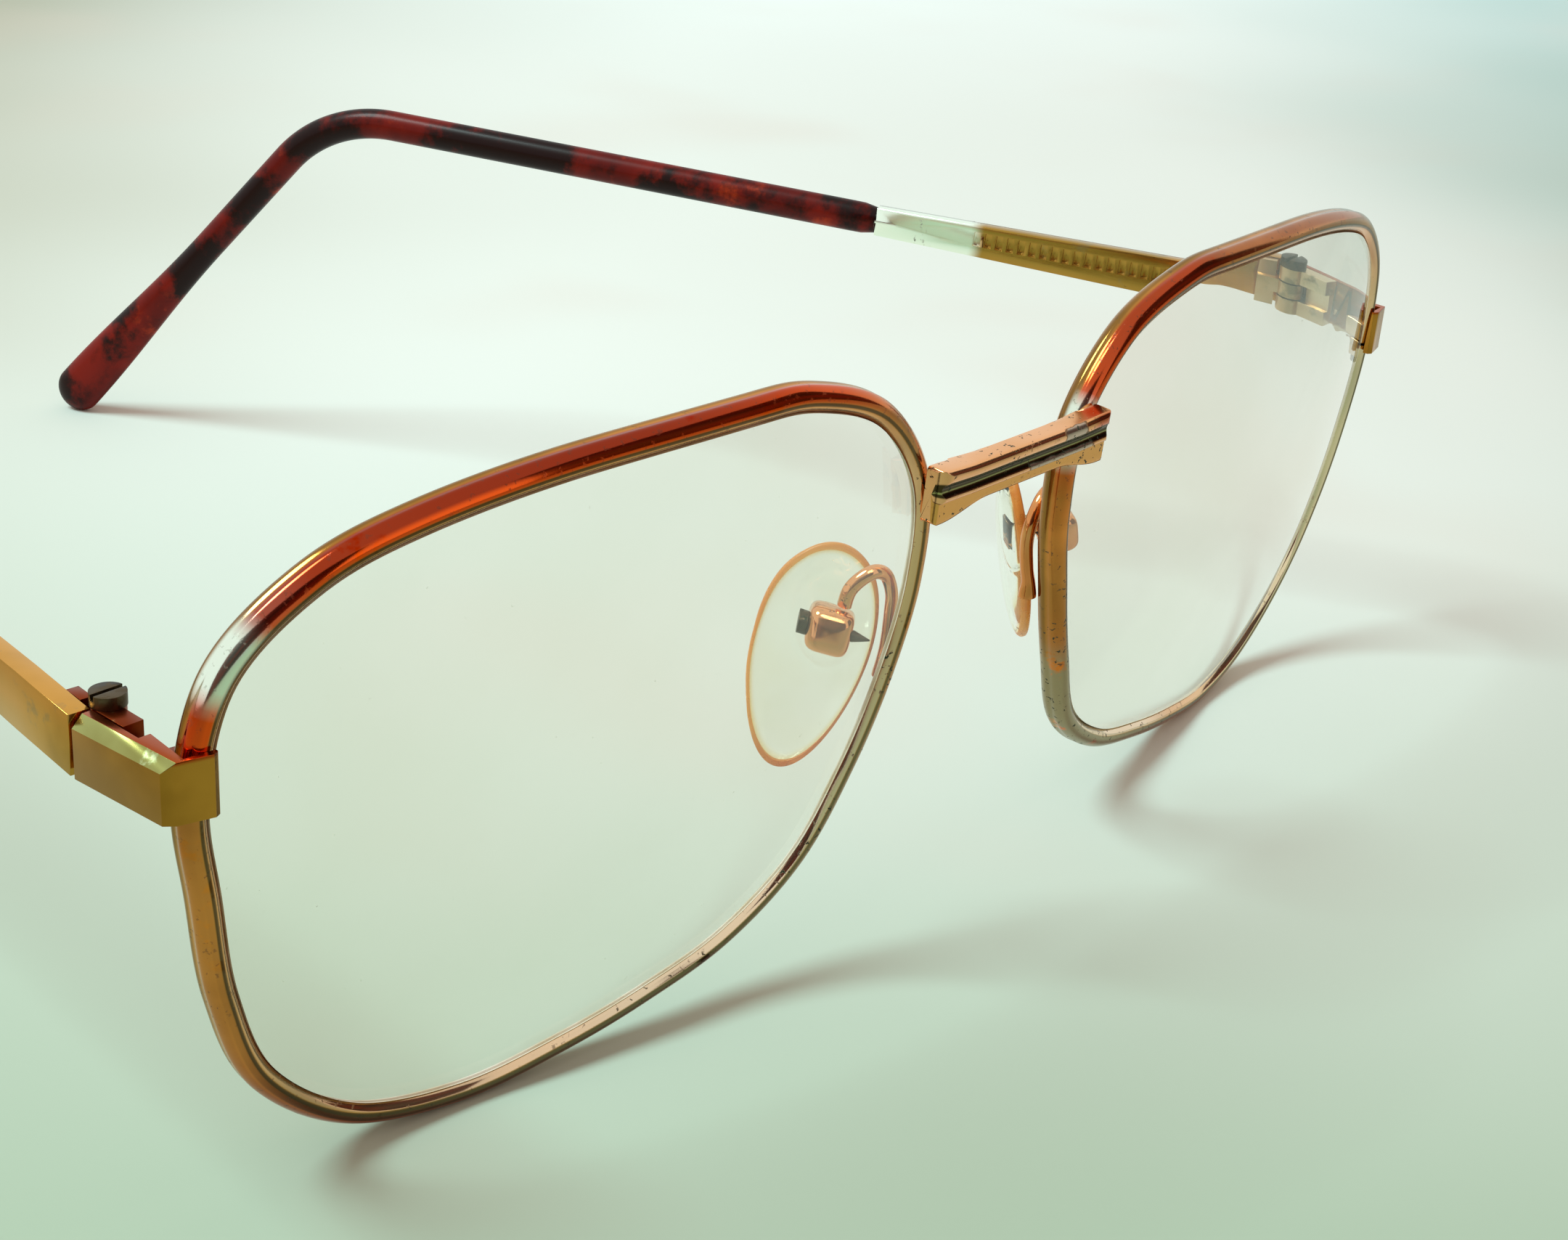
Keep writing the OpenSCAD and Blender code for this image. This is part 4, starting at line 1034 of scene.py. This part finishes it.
# The cloth turns nearly white towards the far side: a painted pool of light.
tone = lay(
    tree, mix(tree, ramp(tree, deep, -0.14, 0.07), linear(164, 194, 170), linear(234, 250, 248)),
    (ramp(tree, aside, -0.02, 0.15), linear(168, 172, 150)),
    (ramp(tree, aside, -0.09, -0.2), linear(178, 210, 204)),
    (ramp(tree, noise(tree, place, 14.0, 2.0), 0.5, 0.75, 0.0, 0.2), linear(222, 208, 196)),
)
rays = tree.nodes.new("ShaderNodeLightPath").outputs
far_glow = times(tree, ramp(tree, deep, 0.1, 0.45), calc(tree, "SUBTRACT", 1.0, rays["Is Diffuse Ray"]))
glow_tone = mix(tree, ramp(tree, aside, 0.05, 0.2), linear(128, 156, 162), linear(20, 22, 18))
feed(shader, {"Base Color": tone, "Emission Color": mix(tree, far_glow, linear(0, 0, 0), glow_tone),
              "Emission Strength": 1.0, "Roughness": 0.9, "Specular IOR Level": 0.1})


def staged(name, corners, faces, finish):
    """A flat thing of the room that isn't part of the spectacles, in metres."""
    mesh = bpy.data.meshes.new(name)
    mesh.from_pydata(corners, [], faces)
    mesh.materials.append(finish)
    shape = linked(bpy.data.objects.new(name, mesh))
    shape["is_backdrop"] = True
    return shape


staged("table", [(-3, -3, 0), (3, -3, 0), (3, 3, 0), (-3, 3, 0)], [(0, 1, 2, 3)], cloth)
print("table laid")


# %% Cards
def upright(foot_a, foot_b, low, high):
    """Corners of an upright card above two places on the table, in metres."""
    return [(*foot_a, low), (*foot_b, low), (*foot_b, high), (*foot_a, high)]


dark, tree, paint, place = blank("card_cloth")
feed(paint, {"Base Color": drifting(tree, place, 9.0, (90, 26, 8), (36, 16, 8))})
mirrored = calc(tree, "MINIMUM", tree.nodes.new("ShaderNodeLightPath").outputs["Glossy Depth"], 1.0)
unseen = tree.nodes.new("ShaderNodeBsdfTransparent").outputs[0]
blend = add(tree, "ShaderNodeMixShader", {0: mirrored, 1: unseen, 2: paint.outputs[0]})
feed(tree.nodes["Material Output"], {"Surface": blend.outputs[0]})
card = staged("card", upright((-0.42, -0.16), (-0.1, -0.46), 0.02, 0.26)
              + upright((0.1, -0.48), (0.44, -0.22), 0.03, 0.4), [(0, 1, 2, 3), (4, 5, 6, 7)], dark)
card.visible_camera = card.visible_diffuse = card.visible_shadow = False
print("cards stand outside the view")

# %% Lamp and world
LAMP_WIDE, LAMP_WATTS, LAMP_TINT, LAMP_AT = 0.28, 3.4, (0.76, 1.0, 0.98), (-0.29, 0.2, 0.56)
FILL_TINT, FILL_STRENGTH, SHOWN_TINT = linear(250, 216, 202), 0.66, linear(240, 250, 246)
lamp = linked(bpy.data.objects.new("window", bpy.data.lights.new("window", "AREA")))
lamp.data.shape, lamp.data.size, lamp.data.energy, lamp.data.color = "DISK", LAMP_WIDE, LAMP_WATTS, LAMP_TINT
lamp.location = LAMP_AT
lamp.rotation_mode = "QUATERNION"
lamp.rotation_quaternion = (-lamp.location.normalized()).to_track_quat("-Z", "Y")

world = bpy.data.worlds.new("room")
world.use_nodes = True
tree = world.node_tree
rays = tree.nodes.new("ShaderNodeLightPath").outputs
seen = calc(tree, "MAXIMUM", calc(tree, "MAXIMUM", rays["Is Camera Ray"], rays["Is Glossy Ray"]),
            rays["Is Transmission Ray"])
feed(tree.nodes["Background"], {
    "Color": mix(tree, seen, FILL_TINT, SHOWN_TINT),
    "Strength": calc(tree, "MULTIPLY_ADD", seen, 1 - FILL_STRENGTH, FILL_STRENGTH),
})
bpy.context.scene.world = world
print("light ready")

# %% Camera
LENS_MM = 56.57
AIM = np.array([-65.495, -105.385, 56.206])
AWAY, TURN, LIFT, ROLL = 92.345, math.radians(-49.949), math.radians(24.862), math.radians(4.063)
back = np.array([math.sin(TURN)*math.cos(LIFT), -math.cos(TURN)*math.cos(LIFT), math.sin(LIFT)])
right = np.cross([0, 0, 1], back)
right /= np.linalg.norm(right)
above = np.cross(back, right)
rolled = [right*math.cos(ROLL) + above*math.sin(ROLL), above*math.cos(ROLL) - right*math.sin(ROLL)]
stand = Matrix(np.stack([*rolled, back], 1).tolist()).to_4x4()
stand.translation = (AIM + back*AWAY)*MM
camera = linked(bpy.data.objects.new("camera", bpy.data.cameras.new("camera")))
camera.data.sensor_width, camera.data.lens = 36.0, LENS_MM
camera.data.clip_start, camera.data.clip_end = 0.005, 20.0
camera.matrix_world = stand
bpy.context.scene.camera = camera
bpy.context.scene.view_settings.view_transform = "Standard"
print("camera at", [round(v/MM, 1) for v in stand.translation])

# %% [markdown]
# ## Size against the solid
# The box round the looks is set against the box of the solid model, and how much it has grown
# is printed.

# %% Sizes and finish
looks_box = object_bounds()
grown = (looks_box[1] - looks_box[0]) - (cad_box[1] - cad_box[0])
print("looks against solid, mm:", [round(v/MM, 3) for v in grown])
